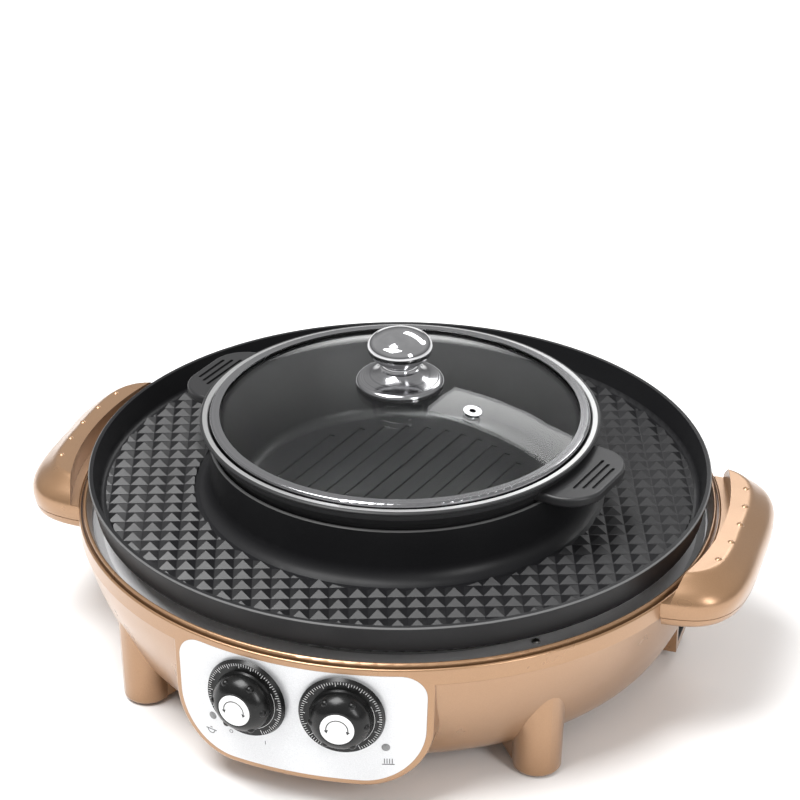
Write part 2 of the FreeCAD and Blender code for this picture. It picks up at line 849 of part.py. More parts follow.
def beside_band(inset):
    """What a handle leaves free: the housing, and the step above its flush ledge."""
    return fused([cylinder(band_r + inset, 0, rim_top_z * 2),
                  cylinder(band_r + handle_ledge + inset, seam_z - inset, rim_top_z * 2)])


def handle_parts():
    """Upper and lower moulding of the +X handle, closed all round and hollow inside."""
    split = handle_split_z()
    low = seam_z - handle_low_drop
    outer = handle_form(0).cut(beside_band(0))
    inner = handle_form(wall).cut(beside_band(wall))
    above = block((0, band_r * 2), (-band_r, band_r), (split, rim_top_z * 2))
    below = block((0, band_r * 2), (-band_r, band_r), (0, split))
    top = outer.common(above).cut(inner)
    base = outer.common(below).cut(inner)
    edge = outer.common(block((0, band_r * 2), (-band_r, band_r), (split - parting_gap, split)))
    base = base.cut(edge.cut(handle_form(parting_d)))
    bumps = []
    for index in range(bump_count):
        turn = math.radians((index - (bump_count - 1) / 2) * bump_step)
        x, y = (band_r + bump_out) * math.cos(turn), (band_r + bump_out) * math.sin(turn)
        line = Part.makeLine(V(x, y, 0), V(x, y, rim_top_z * 2))
        top_point = max(line.common(outer).Vertexes, key=lambda vertex: vertex.Z).Point
        bumps.append(Part.makeSphere(bump_r, top_point - UP * (bump_r - bump_h)).cut(inner))
    bosses = []
    for y in (-handle_screw_y, handle_screw_y):
        bosses.append(Part.makeCylinder(handle_boss_r, handle_boss_l, V(band_x(y), y, handle_screw_z()),
                                        V(1, 0, 0)))
    for x, y in handle_base_spots():
        bosses.append(cylinder(handle_boss_r, low + wall, rim_top_z * 2, x, y))
    core = handle_form(wall / 2).cut(beside_band(wall / 2))
    top = top.fuse(bumps + [boss.common(core) for boss in bosses])
    for y in (-handle_screw_y, handle_screw_y):
        bore_end = band_x(y) + handle_boss_l - 0.5
        top = top.cut(Part.makeCylinder(screw_r, bore_end - handle_screw_seat(),
                                        V(handle_screw_seat(), y, handle_screw_z()), V(1, 0, 0)))
    for x, y in handle_base_spots():
        top = top.cut(cylinder(screw_r, low, low + wall + base_screw_l, x, y))
        base = base.cut(cylinder(screw_r + slip, 0, low + wall + 1, x, y))
    return top.removeSplitter(), base.removeSplitter()


def handle_screws():
    """Four screws out through the band and four up through the handles' bases."""
    side_screw = screw(band_x(handle_screw_y) + handle_boss_l - 1 - handle_screw_seat())
    side_screw.rotate(ORIGIN, V(0, 1, 0), -90)
    base_screw = screw(wall + base_screw_l - 1)
    base_screw.rotate(ORIGIN, V(1, 0, 0), 180)
    solids = []
    for turn in (0, 180):
        for y in (-handle_screw_y, handle_screw_y):
            solids.append(spun(moved(side_screw, handle_screw_seat(), y, handle_screw_z()), turn))
        for x, y in handle_base_spots():
            solids.append(spun(moved(base_screw, x, y, seam_z - handle_low_drop), turn))
    return solids


# ------------------------------------------------------------------ power inlet
def socket_back_x():
    return inlet_face_x - socket_depth - wall


def pin_places():
    """Y and Z of the three contacts, the earth one highest."""
    middle = socket_low_z + socket_h / 2
    return [(inlet_y - pin_pitch, middle - pin_step), (inlet_y, middle + pin_step),
            (inlet_y + pin_pitch, middle - pin_step)]


def inlet_socket():
    """Black socket pushed in from behind until its flange meets the housing's wall."""
    y, z = inlet_window()
    body = block((socket_back_x(), inlet_face_x), y, z)
    mouth = block((socket_back_x() + wall, inlet_face_x + 1), (y[0] + socket_wall, y[1] - socket_wall),
                  (z[0] + socket_wall, z[1] - socket_wall))
    flange = block((inlet_face_x - 2 * wall, inlet_face_x - wall), (y[0] - socket_lap, y[1] + socket_lap),
                   (z[0] - socket_lap, z[1] + socket_lap))
    socket = body.fuse(flange).cut(mouth)
    for pin_y, pin_z in pin_places():
        socket = socket.cut(Part.makeCylinder(pin_r, inlet_face_x, V(0, pin_y, pin_z), V(1, 0, 0)))
    return socket


def inlet_pins():
    length = socket_depth + wall + pin_tail - pin_recess
    return [Part.makeCylinder(pin_r, length, V(socket_back_x() - pin_tail, y, z), V(1, 0, 0))
            for y, z in pin_places()]


# ------------------------------------------------------------------ reflector deck and inner bowl
def deck_profile():
    """Upper side of the reflector deck from its flange in to the bowl's opening, as (r, z)."""
    flange_z = seam_z - lining_drop
    bead_z = deck_z - bead_d
    dish_z = deck_z - dish_d
    return [(deck_flange_r, flange_z), (deck_edge_r, flange_z), (deck_flat_r, deck_z), (bead_out_r, deck_z),
            (bead_out_r - bead_flank, bead_z), (bead_in_r + bead_flank, bead_z), (bead_in_r, deck_z),
            (dish_out_r, deck_z), (dish_in_r, dish_z), (deck_hole_r, dish_z)]


def under_deck(radius, reach):
    """Lowest underside of the deck within reach of a radius."""
    profile = deck_profile()
    levels = [z for r, z in profile if abs(r - radius) < reach]
    for spot in (radius - reach, radius + reach):
        for (out_r, out_z), (in_r, in_z) in zip(profile, profile[1:]):
            if in_r <= spot <= out_r:
                levels.append(in_z + (out_z - in_z) * (spot - in_r) / (out_r - in_r))
    return min(levels) - sheet


def reflector_deck():
    top = deck_profile()
    low = [(r, z - sheet) for r, z in reversed(top)]
    deck = turned(*(top + low))
    for x, y in heater_end_places(outer_loop_r, outer_middle, outer_gap):
        deck = deck.cut(cylinder(tube_r + hole_play, 0, seam_z, x, y))
        slit_x = x + math.copysign(slit_out, x - outer_loop_r * math.cos(math.radians(outer_middle)))
        deck = deck.cut(block((slit_x - slit_l / 2, slit_x + slit_l / 2), (y - slit_w / 2, y + slit_w / 2),
                              (0, seam_z)))
    for angle in deck_screw_angles:
        deck = deck.cut(spun(cylinder(screw_r + slip, 0, seam_z, deck_screw_r), angle))
    for x, y, angle in bracket_feet(outer_loop_r, outer_brackets, outer_bracket_first, False):
        deck = deck.cut(spun(cylinder(screw_r + slip, 0, seam_z, x, y), angle))
    half = (deck_slot_l - deck_slot_w) / 2
    slot = fused([block((deck_slot_r - deck_slot_w / 2, deck_slot_r + deck_slot_w / 2), (-half, half),
                        (0, seam_z)),
                  cylinder(deck_slot_w / 2, 0, seam_z, deck_slot_r, -half),
                  cylinder(deck_slot_w / 2, 0, seam_z, deck_slot_r, half)])
    return deck.cut(spun(slot, deck_slot_azimuth))


def inner_bowl():
    flange_z = deck_z - dish_d - sheet
    top = [(deck_hole_r + pan_well_lap, flange_z), (deck_hole_r - 1.0, flange_z), (pan_well_r, well_floor_z),
           (0, well_floor_z)]
    low = [(r, z - sheet) for r, z in reversed(top)]
    bowl = turned(*(top + low))
    for x, y in heater_end_places(inner_loop_r, inner_middle, inner_gap):
        bowl = bowl.cut(cylinder(tube_r + hole_play, 0, seam_z, x, y))
        slit_x = x + math.copysign(slit_out, x - inner_loop_r * math.cos(math.radians(inner_middle)))
        bowl = bowl.cut(block((slit_x - slit_l / 2, slit_x + slit_l / 2), (y - slit_w / 2, y + slit_w / 2),
                              (0, seam_z)))
    for x, y, angle in bracket_feet(inner_loop_r, inner_brackets, inner_bracket_first, True):
        bowl = bowl.cut(spun(cylinder(screw_r + slip, 0, seam_z, x, y), angle))
    return bowl


def deck_screws():
    one = moved(screw(), deck_screw_r, 0, deck_z)
    return [spun(one, angle) for angle in deck_screw_angles]


# ------------------------------------------------------------------ heaters and their brackets
def heater(loop_r, level, middle, gap, tail):
    """Tubular element: one open loop whose ends turn down through the sheet."""
    lead = math.degrees(heater_bend / loop_r)
    start = middle + gap / 2 + lead
    sweep = 360 - gap - 2 * lead
    section = Part.Face(Part.Wire(Part.makeCircle(tube_r, V(loop_r, 0, level), V(0, 1, 0))))
    pieces = [spun(section.revolve(ORIGIN, UP, sweep), start)]
    for side in (-1, 1):
        bend = section.revolve(V(loop_r, 0, level - heater_bend), V(side, 0, 0), 90)
        bottom = V(loop_r, -side * heater_bend, level - heater_bend)
        leg = Part.makeCylinder(tube_r, tail - heater_bend, bottom, V(0, 0, -1))
        turn = start if side > 0 else start + sweep
        pieces += [spun(bend, turn), spun(leg, turn)]
    element = fused(pieces)
    pins = []
    for side in (-1, 1):
        pin = Part.makeCylinder(terminal_r, terminal_l, V(loop_r, -side * heater_bend, level - tail),
                                V(0, 0, -1))
        pins.append(spun(pin, start if side > 0 else start + sweep))
    return fused([element] + pins)


def heater_end_places(loop_r, middle, gap):
    """X, Y of the two cold ends: the bend carries each one heater_bend along the tangent."""
    lead = math.degrees(heater_bend / loop_r)
    places = []
    for side, turn in ((1, middle + gap / 2 + lead), (-1, middle - gap / 2 - lead)):
        spot = V(loop_r, -side * heater_bend, 0)
        spot = FreeCAD.Rotation(UP, turn).multVec(spot)
        places.append((spot.x, spot.y))
    return places


def heater_bushes():
    solids = []
    sets = ((outer_loop_r, outer_middle, outer_gap, under_deck(outer_loop_r, tube_r + bush_wall)),
            (inner_loop_r, inner_middle, inner_gap, well_floor_z - sheet))
    for loop_r, middle, gap, level in sets:
        for x, y in heater_end_places(loop_r, middle, gap):
            bush = ring(tube_r + bush_wall, tube_r, level - bush_t, level)
            solids.append(moved(bush, x, y, 0))
    return solids


def bracket_feet(loop_r, count, first, mirrored):
    """Place of each bracket's screw: X, Y beside the bracket and the bracket's azimuth.

    All feet point one way round, or away from the heater's gap on both halves.
    """
    out = bracket_t / 2 + bracket_foot_l / 2
    feet = []
    for index, angle in enumerate(spaced(first, count)):
        side = 1 if mirrored and index < count / 2 else -1
        feet.append((loop_r, side * out, angle))
    return feet


def brackets(loop_r, level, floor, count, first, mirrored):
    """Sheet angles: an upright plate that the tube passes through, on a screwed foot."""
    top = level + tube_r + bracket_cap
    plate = block((loop_r - bracket_l / 2, loop_r + bracket_l / 2), (-bracket_t / 2, bracket_t / 2),
                  (floor, top))
    plate = plate.cut(Part.makeCylinder(tube_r + slip, bracket_t * 3, V(loop_r, -bracket_t * 1.5, level),
                                        V(0, 1, 0)))
    pieces = []
    for x, y, angle in bracket_feet(loop_r, count, first, mirrored):
        foot = block((x - bracket_foot_w / 2, x + bracket_foot_w / 2), (min(0, 2 * y), max(0, 2 * y)),
                     (floor, floor + bracket_t))
        piece = plate.fuse(foot).cut(cylinder(screw_r + slip, 0, top, x, y))
        pieces.append(spun(piece.removeSplitter(), angle))
    return pieces


def bracket_screws():
    solids = []
    sets = ((outer_loop_r, outer_brackets, outer_bracket_first, False, deck_z),
            (inner_loop_r, inner_brackets, inner_bracket_first, True, well_floor_z))
    for loop_r, count, first, mirrored, floor in sets:
        for x, y, angle in bracket_feet(loop_r, count, first, mirrored):
            solids.append(spun(moved(screw(), x, y, floor + bracket_t), angle))
    return solids


# ------------------------------------------------------------------ wiring inside the bowl
def block_hole(row, pole):
    """X and Y of a clamp hole in the terminal block: row 0 outgoing, row 1 incoming."""
    x = block_x + block_w * (0.27 + 0.46 * row)
    return x, block_y + (pole - (block_poles - 1) / 2) * block_l / block_poles


def block_top():
    return floor_clear + wall + block_h


def terminal_block():
    low = floor_clear + wall
    body = block((block_x, block_x + block_w), (block_y - block_l / 2, block_y + block_l / 2),
                 (low, block_top()))
    for row in (0, 1):
        for pole in range(block_poles):
            x, y = block_hole(row, pole)
            body = body.cut(cylinder(wire_r, block_top() - block_hole_d, block_top() + 1, x, y))
    return body


def fuse_place():
    """Middle of the thermal fuse, which lies against the inner bowl's underside."""
    return V(fuse_x, fuse_y, well_floor_z - sheet - fuse_r)


def thermal_fuse():
    """Fuse along Y with a lead at each end."""
    place = fuse_place()
    body = Part.makeCylinder(fuse_r, fuse_l, place - V(0, fuse_l / 2, 0), V(0, 1, 0))
    lead = Part.makeCylinder(fuse_lead_r, fuse_l + 2 * fuse_lead_l, place - V(0, fuse_l / 2 + fuse_lead_l, 0),
                             V(0, 1, 0))
    return body.fuse(lead).removeSplitter()


def stat_tab(side, upper):
    """Point and inward direction at the free end of a thermostat's tab."""
    face = skin_r - boss_l + wall / 2
    level = knob_z + (stat_h / 4 if upper else -stat_h / 4)
    turn = FreeCAD.Rotation(UP, side * knob_azimuth - 90)
    inward = turn.multVec(V(-1, 0, 0))
    return turn.multVec(V(face - stat_d - tab_l, 0, 0)) + V(0, 0, level), inward


def wire_level(step):
    return block_top() + wire_lift + step * wire_step


def harness_wires():
    """Wires from the inlet to the block, and on to the fuse, the thermostats and the heaters."""
    seat = block_top() - block_hole_d
    routes = []
    for (pin_y, pin_z), pole in zip(pin_places(), (0, 2, 3)):
        x, y = block_hole(1, pole)
        start = V(socket_back_x() - pin_tail, pin_y, pin_z)
        routes.append([start, start - V(wire_lift, 0, 0), V(start.x - 2 * wire_lift, y, wire_level(0)),
                       V(x, y, wire_level(0)), V(x, y, seat)])
    place = fuse_place()
    lead = V(0, fuse_l / 2 + fuse_lead_l, 0)
    run = V(0, wire_lift, 0)
    x, y = block_hole(0, 0)
    routes.append([V(x, y, seat), V(x, y, place.z), place + lead + run, place + lead])
    tab, inward = stat_tab(1, True)
    routes.append([place - lead, place - lead - run, tab + inward * wire_lift, tab])
    x, y = block_hole(0, 1)
    tab, inward = stat_tab(-1, True)
    turn = tab + inward * wire_lift + UP.cross(inward) * wire_aside
    tab = tab + inward * wire_r * wire_aside / math.hypot(wire_lift, wire_aside)
    routes.append([V(x, y, seat), V(x, y, wire_level(0)), V(turn.x, turn.y, wire_level(0)), turn, tab])
    outer = heater_end_places(outer_loop_r, outer_middle, outer_gap)
    inner = heater_end_places(inner_loop_r, inner_middle, inner_gap)
    outer_low = outer_heater_z - outer_tail - terminal_l
    inner_low = inner_heater_z - inner_tail - terminal_l
    for pole, (end_x, end_y), end_z, step in ((3, outer[1], outer_low, 1), (4, inner[0], inner_low, 2)):
        x, y = block_hole(0, pole)
        routes.append([V(x, y, seat), V(x, y, wire_level(step)), V(end_x, end_y, wire_level(step)),
                       V(end_x, end_y, end_z)])
    for side, (end_x, end_y), end_z in ((1, outer[0], outer_low), (-1, inner[1], inner_low)):
        tab, inward = stat_tab(side, False)
        turn = tab + inward * wire_lift * 1.6
        routes.append([tab, turn, V(turn.x, turn.y, wire_level(3)), V(end_x, end_y, wire_level(3)),
                       V(end_x, end_y, end_z)])
    return [tube(route, wire_r, wire_bend) for route in routes]


# ------------------------------------------------------------------ grill pan
def grill_pan():
    """Cast ring pan: rimmed outside, with a tall collar that the pot drops into."""
    collar_in = collar_bore_r()
    collar_out = collar_in + collar_t
    foot_r = collar_out + collar_foot
    lip_low = pan_rim_z - pan_lip_h
    heel = (pan_heel_r - pan_heel_round, pan_z)
    inner_low = (pan_heel_r - pan_side_t, pan_floor_z + pan_toe_round)
    toe = (inner_low[0] - pan_toe_round, pan_floor_z)
    flare = bulged((foot_r, pan_floor_z), (collar_out, pan_floor_z + collar_foot_h), -collar_foot * 0.3)
    return turned(
        (collar_in, pan_z),
        heel,
        (bulged(heel, (pan_heel_r, pan_z + pan_heel_round), pan_heel_round * 0.2),
         (pan_heel_r, pan_z + pan_heel_round)),
        (pan_lip_r - pan_lip_step, lip_low),
        (pan_lip_r, lip_low + pan_edge),
        (pan_lip_r, pan_rim_z - pan_edge),
        (pan_lip_r - pan_edge, pan_rim_z),
        (pan_lip_r - pan_side_t, pan_rim_z),
        inner_low,
        (bulged(inner_low, toe, -pan_toe_round * 0.2), toe),
        (foot_r, pan_floor_z),
        (flare, (collar_out, pan_floor_z + collar_foot_h)),
        (collar_out, collar_top_z - pan_edge),
        (collar_out - pan_edge, collar_top_z),
        (collar_in + pan_edge, collar_top_z),
        (collar_in, collar_top_z - pan_edge),
    )


def collar_bore_r():
    """Collar's bore, from the pot's outside at the height of the collar's top."""
    shoulder_z = pot_rim_z - pot_shoulder_drop
    heel_z = pot_z + pot_heel_h
    share = (collar_top_z - heel_z) / (shoulder_z - heel_z)
    return pot_heel_r + share * (pot_shoulder_r - pot_heel_r) + collar_play


# ------------------------------------------------------------------ pot
def pot_shell():
    """Cast pot with a bright flange, a recess for the lid, a grooved floor and two ears."""
    flange_low = pot_rim_z - pot_flange_t
    neck_low = flange_low - pot_neck_h
    shoulder_z = pot_rim_z - pot_shoulder_drop
    heel = (pot_heel_r, pot_z + pot_heel_h)
    base = (pot_base_r, pot_z)
    inner_heel = (pot_heel_r - pot_wall, pot_floor_z + pot_heel_h)
    inner_base = (pot_base_r - pot_wall, pot_floor_z)
    pot = turned(
        (0, pot_z),
        base,
        (bulged(base, heel, pot_heel_bulge), heel),
        (pot_shoulder_r, shoulder_z),
        (pot_neck_r, neck_low),
        (pot_neck_r, flange_low),
        (pot_rim_r - pot_edge, flange_low + pot_edge),
        (pot_rim_r, flange_low + flange_draft),
        (pot_rim_r, pot_rim_z - pot_edge),
        (pot_rim_r - pot_edge, pot_rim_z),
        (recess_r + pot_edge, pot_rim_z),
        (recess_r, pot_rim_z - pot_edge),
        (recess_r, ledge_z),
        (ledge_r, ledge_z),
        inner_heel,
        (bulged(inner_heel, inner_base, -pot_heel_bulge), inner_base),
        (0, pot_floor_z),
    )
    grooves = []
    count = int(rib_circle_r // rib_pitch)
    for index in range(-count, count + 1):
        x = index * rib_pitch
        half = math.sqrt(max(rib_circle_r ** 2 - x ** 2, 0))
        if half > rib_pitch / 2:
            grooves.append(block((x - rib_w / 2, x + rib_w / 2), (-half, half),
                                 (pot_floor_z - rib_d, pot_floor_z + 1)))
    pot = pot.cut(grooves)
    ears = [pot_ear(), spun(pot_ear(), 180)]
    pot = pot.fuse(ears).removeSplitter()
    return spun(pot, ear_azimuth)


def pot_ear():
    high = pot_rim_z - ear_drop
    low = high - ear_t
    root = pot_shoulder_r - ear_root
    ear = block((root - ear_half_w / 2, ear_reach_r), (-ear_half_w, ear_half_w), (low, high))
    corners = [edge for edge in ear.Edges
               if abs(edge.tangentAt(edge.FirstParameter).z) > 0.99 and edge.CenterOfMass.x > root]
    ear = ear.makeFillet(ear_round, corners)
    outer = [edge for edge in ear.Edges
             if edge.CenterOfMass.x > root and abs(edge.CenterOfMass.z - (low + high) / 2) > ear_t / 3]
    ear = ear.makeFillet(ear_t * 0.25, outer)
    for index in range(ear_slots):
        x = ear_slot_first + index * ear_slot_pitch
        half = ear_slot_half - index * ear_slot_fade
        slot = fused([block((x - ear_slot_w / 2, x + ear_slot_w / 2), (-half, half), (high - ear_slot_d, high + 1)),
                      cylinder(ear_slot_w / 2, high - ear_slot_d, high + 1, x, -half),
                      cylinder(ear_slot_w / 2, high - ear_slot_d, high + 1, x, half)])
        ear = ear.cut(slot)
    return ear.cut(cylinder(pot_shoulder_r - pot_wall * 0.5, low - 1, high + 1))


# ------------------------------------------------------------------ lid
def dome_radius():
    half = glass_edge_r() - glass_shoulder
    return (half ** 2 + glass_dome ** 2) / (2 * glass_dome)


def glass_edge_r():
    return lid_r - band_sheet - gasket_edge


def glass_low_z():
    return lid_z + band_sheet + gasket_lip


def dome_z(radius):
    """Underside of the glass at a radius."""
    big = dome_radius()
    return glass_low_z() + glass_dome - big + math.sqrt(big ** 2 - radius ** 2)


def lid_glass():
    edge = glass_edge_r()
    start = edge - glass_shoulder
    low = glass_low_z()
    bore = stud_r + stud_play
    glass = turned(
        (edge, low),
        (edge, low + glass_t),
        (start, low + glass_t),
        ((start / 2, dome_z(start / 2) + glass_t), (bore, dome_z(bore) + glass_t)),
        (bore, dome_z(bore)),
        ((start / 2, dome_z(start / 2)), (start, low)),
    )
    return glass.cut(at_vent(Part.makeCylinder(vent_hole_r, 20, V(0, 0, -10))))


def at_vent(shape):
    """Set a shape built about the glass's middle plane square on the dome at the vent."""
    copy = shape.copy()
    tilt = math.degrees(math.asin(vent_pitch_r / dome_radius()))
    copy.rotate(ORIGIN, V(0, 1, 0), tilt)
    copy.translate(V(vent_pitch_r, 0, dome_z(vent_pitch_r) + glass_t / 2))
    copy.rotate(ORIGIN, UP, vent_azimuth)
    return copy


def lid_gasket():
    edge = glass_edge_r()
    low = glass_low_z()
    inner = lid_r - band_lap + gasket_back
    return turned(
        (inner, lid_z + band_sheet),
        (lid_r - band_sheet, lid_z + band_sheet),
        (lid_r - band_sheet, low + glass_t + gasket_lip),
        (inner, low + glass_t + gasket_lip),
        (inner, low + glass_t),
        (edge, low + glass_t),
        (edge, low),
        (inner, low),
    )


def lid_band():
    high = glass_low_z() + glass_t + gasket_lip + band_sheet
    inner = lid_r - band_lap
    return turned(
        (inner, lid_z),
        (lid_r - band_edge, lid_z),
        (lid_r, lid_z + band_edge),
        (lid_r, high - band_curl),
        (bulged((lid_r, high - band_curl), (lid_r - band_curl, high), band_curl * 0.2), (lid_r - band_curl, high)),
        (inner, high),
        (inner, high - band_sheet),
        (lid_r - band_sheet, high - band_sheet),
        (lid_r - band_sheet, lid_z + band_sheet),
        (inner, lid_z + band_sheet),
    )


def steam_vent():
    flange = glass_t / 2
    eyelet = ring(eyelet_r, eyelet_bore_r, flange, flange + eyelet_t)
    barrel = ring(vent_hole_r, eyelet_bore_r, -flange - eyelet_t, flange)
    under = ring(eyelet_r - 1, eyelet_bore_r, -flange - eyelet_t, -flange - eyelet_play)
    return at_vent(fused([eyelet, barrel, under]))


def knob_base_z():
    return dome_z(bell_r - bell_t) + glass_t


def knob_bell():
    """Spun bell under the lid's knob, standing on the glass by its rim."""
    low = knob_base_z()
    crest = dome_z(0) + glass_t + bell_h
    shoulder_r = bell_r - bell_shoulder
    rim = (bell_r, low + bell_rim_h)
    shoulder = (shoulder_r, low + 2 * bell_rim_h)
    waist = (bell_neck_r, crest)
    return turned(
        (bell_r - bell_t, low),
        (bell_r, low),
        rim,
        (bulged(rim, shoulder, bell_bulge), shoulder),
        (bulged(shoulder, waist, -bell_bulge * 1.5), waist),
        (stud_r + stud_play, crest),
        (stud_r + stud_play, crest - bell_t),
        (bell_neck_r - bell_t, crest - bell_t),
        (bulged((bell_neck_r - bell_t, crest - bell_t), (shoulder_r - bell_t, shoulder[1] - bell_t), bell_bulge * 1.5),
         (shoulder_r - bell_t, shoulder[1] - bell_t)),
        (bell_r - bell_t, low + bell_rim_h),
    )


def lid_knob():
    """Mushroom knob on the bell."""
    low = dome_z(0) + glass_t + bell_h
    foot = (cap_neck_r + cap_foot, low)
    neck = (cap_neck_r, low + cap_neck_h)
    widest = (cap_r, neck[1] + cap_flare_h)
    brow = (cap_r * cap_brow, low + cap_h - cap_crown)
    knob = turned(
        (0, low),
        foot,
        (bulged(foot, neck, -cap_foot * 0.6), neck),
        (bulged(neck, widest, cap_foot * 0.8), widest),
        (bulged(widest, brow, cap_foot * 1.4), brow),
        crown(brow[0], brow[1], cap_crown),
    )
    return knob.cut(cylinder(stud_r, low - 1, stud_top_z()))


def stud_top_z():
    return dome_z(0) + glass_t + bell_h + stud_in


def lid_pad():
    """Silicone washer between the stud's head and the glass."""
    high = dome_z(pad_r)
    return ring(pad_r, stud_r + stud_play, high - pad_t, high)


def knob_screw():
    seat = dome_z(pad_r) - pad_t
    head = turned(
        (0, seat - stud_head_h),
        (stud_head_r - stud_head_edge, seat - stud_head_h),
        (stud_head_r, seat - stud_head_h + stud_head_edge),
        (stud_head_r, seat),
        (0, seat),
    )
    head = head.cut(block((-stud_head_r, stud_head_r), (-stud_slot_w / 2, stud_slot_w / 2),
                          (seat - stud_head_h - 1, seat - stud_head_h + slot_cut)))
    return fused([head, cylinder(stud_r, seat, stud_top_z())])


# ------------------------------------------------------------------ write every node
def main():
    os.makedirs("parts", exist_ok=True)
    save("lower_shell", lower_shell())
    save("rubber_feet", *rubber_feet())
    save("bottom_cover", bottom_cover())
    save("cover_screws", *cover_screw_set())
    save("upper_housing", upper_housing())
    save("rim_ring", rim_ring())
    save("panel_plate", panel_plate())
    save("indicator_lenses", *indicator_lenses())
    save("indicator_lamps", *indicator_lamps())
    for name, side in (("pot", -1), ("grill", 1)):
        save(name + "_thermostat", thermostat(side))
        save(name + "_knob_shaft", knob_shaft(side))
        save(name + "_knob_dial", knob_dial(side))
        save(name + "_knob_cap", knob_cap(side))
    top, tray = handle_parts()
    for name, turn in (("right", 0), ("left", 180)):
        save(name + "_handle_top", spun(top, turn))
        save(name + "_handle_base", spun(tray, turn))
    save("handle_screws", *handle_screws())
    save("inlet_socket", inlet_socket())
    save("inlet_pins", *inlet_pins())
    save("reflector_deck", reflector_deck())
    save("inner_bowl", inner_bowl())
    save("deck_screws", *deck_screws())
    save("grill_heater", heater(outer_loop_r, outer_heater_z, outer_middle, outer_gap, outer_tail))
    save("pot_heater", heater(inner_loop_r, inner_heater_z, inner_middle, inner_gap, inner_tail))
    save("heater_bushes", *heater_bushes())
    save("grill_heater_brackets", *brackets(outer_loop_r, outer_heater_z, deck_z, outer_brackets,
                                            outer_bracket_first, -1))
    save("pot_heater_brackets", *brackets(inner_loop_r, inner_heater_z, well_floor_z, inner_brackets,
                                          inner_bracket_first, 1))
    save("bracket_screws", *bracket_screws())
    save("terminal_block", terminal_block())
    save("thermal_fuse", thermal_fuse())
    save("harness_wires", *harness_wires())
    save("grill_pan", grill_pan())
    save("pot_shell", pot_shell())
    save("lid_glass", lid_glass())
    save("lid_gasket", lid_gasket())
    save("lid_band", lid_band())
    save("steam_vent", steam_vent())
    save("lid_knob_bell", knob_bell())
    save("lid_knob", lid_knob())
    save("lid_pad", lid_pad())
    save("lid_knob_screw", knob_screw())


main()
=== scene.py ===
"""Table-top electric hot pot: heated base, ring grill pan, lift-out pot and glass lid. Metres, +Z up."""
import json
import math

import bpy
from mathutils import Matrix, Vector


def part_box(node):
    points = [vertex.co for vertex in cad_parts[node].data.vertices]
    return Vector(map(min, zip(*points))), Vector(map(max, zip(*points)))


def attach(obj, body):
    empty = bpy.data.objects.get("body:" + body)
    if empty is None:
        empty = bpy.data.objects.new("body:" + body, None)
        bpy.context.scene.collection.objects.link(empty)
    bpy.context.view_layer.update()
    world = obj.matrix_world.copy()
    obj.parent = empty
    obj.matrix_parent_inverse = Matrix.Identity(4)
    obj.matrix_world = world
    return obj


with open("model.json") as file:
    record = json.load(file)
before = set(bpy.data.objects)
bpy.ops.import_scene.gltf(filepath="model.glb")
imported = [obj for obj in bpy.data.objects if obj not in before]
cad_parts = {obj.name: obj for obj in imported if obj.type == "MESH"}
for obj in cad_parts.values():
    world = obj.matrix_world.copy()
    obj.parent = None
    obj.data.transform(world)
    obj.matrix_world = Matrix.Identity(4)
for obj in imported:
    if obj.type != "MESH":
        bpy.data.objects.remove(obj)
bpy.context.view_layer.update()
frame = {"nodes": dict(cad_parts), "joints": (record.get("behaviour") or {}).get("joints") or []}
nodes = frame["nodes"]

# ---------------------------------------------------------------- camera
# The camera stands in front of the panel and to its right, and looks down on the whole stack. It is aimed
# at the pot's axis, high enough to take in the lid when it is lifted off.
camera_turn = math.radians(17.5)
camera_climb = math.radians(28.0)
camera_distance = 1.700
sensor_width = 36.0
focal_length = 116.35
aim = Vector((0.0, 0.0, 0.1733))
back = Vector((math.sin(camera_turn) * math.cos(camera_climb),
               -math.cos(camera_turn) * math.cos(camera_climb),
               math.sin(camera_climb)))
camera_data = bpy.data.cameras.new("camera")
camera_data.sensor_width = sensor_width
camera_data.lens = focal_length
camera = bpy.data.objects.new("camera", camera_data)
bpy.context.scene.collection.objects.link(camera)
camera.location = aim + camera_distance * back
camera.rotation_euler = (-back).to_track_quat("-Z", "Y").to_euler()
bpy.context.scene.camera = camera
bpy.context.scene.view_settings.view_transform = "Standard"


# ---------------------------------------------------------------- floor and studio light
# A plain white table top in a white room that is darker low down, so that bright metal has something to
# mirror. A large lamp hangs high over the left front, a narrow one is on the right and a wide one behind.
def shader_of(material):
    """The shader that a material's looks go through."""
    return material.node_tree.nodes["Principled BSDF"]


def plain(name, color, roughness=0.5, metallic=0.0):
    """New material in one colour."""
    material = bpy.data.materials.new(name)
    material.use_nodes = True
    shader = shader_of(material)
    shader.inputs["Base Color"].default_value = (*color, 1)
    shader.inputs["Roughness"].default_value = roughness
    shader.inputs["Metallic"].default_value = metallic
    return material


floor_half = 8.0
bpy.ops.object.select_all(action="DESELECT")
bpy.ops.mesh.primitive_plane_add(size=2 * floor_half, location=(0, 0, 0))
floor = bpy.context.object
floor.name = "floor"
floor_paint = plain("floor_white", (0.94, 0.94, 0.94), 0.9)
shader_of(floor_paint).inputs["Specular IOR Level"].default_value = 0.1
floor.data.materials.append(floor_paint)

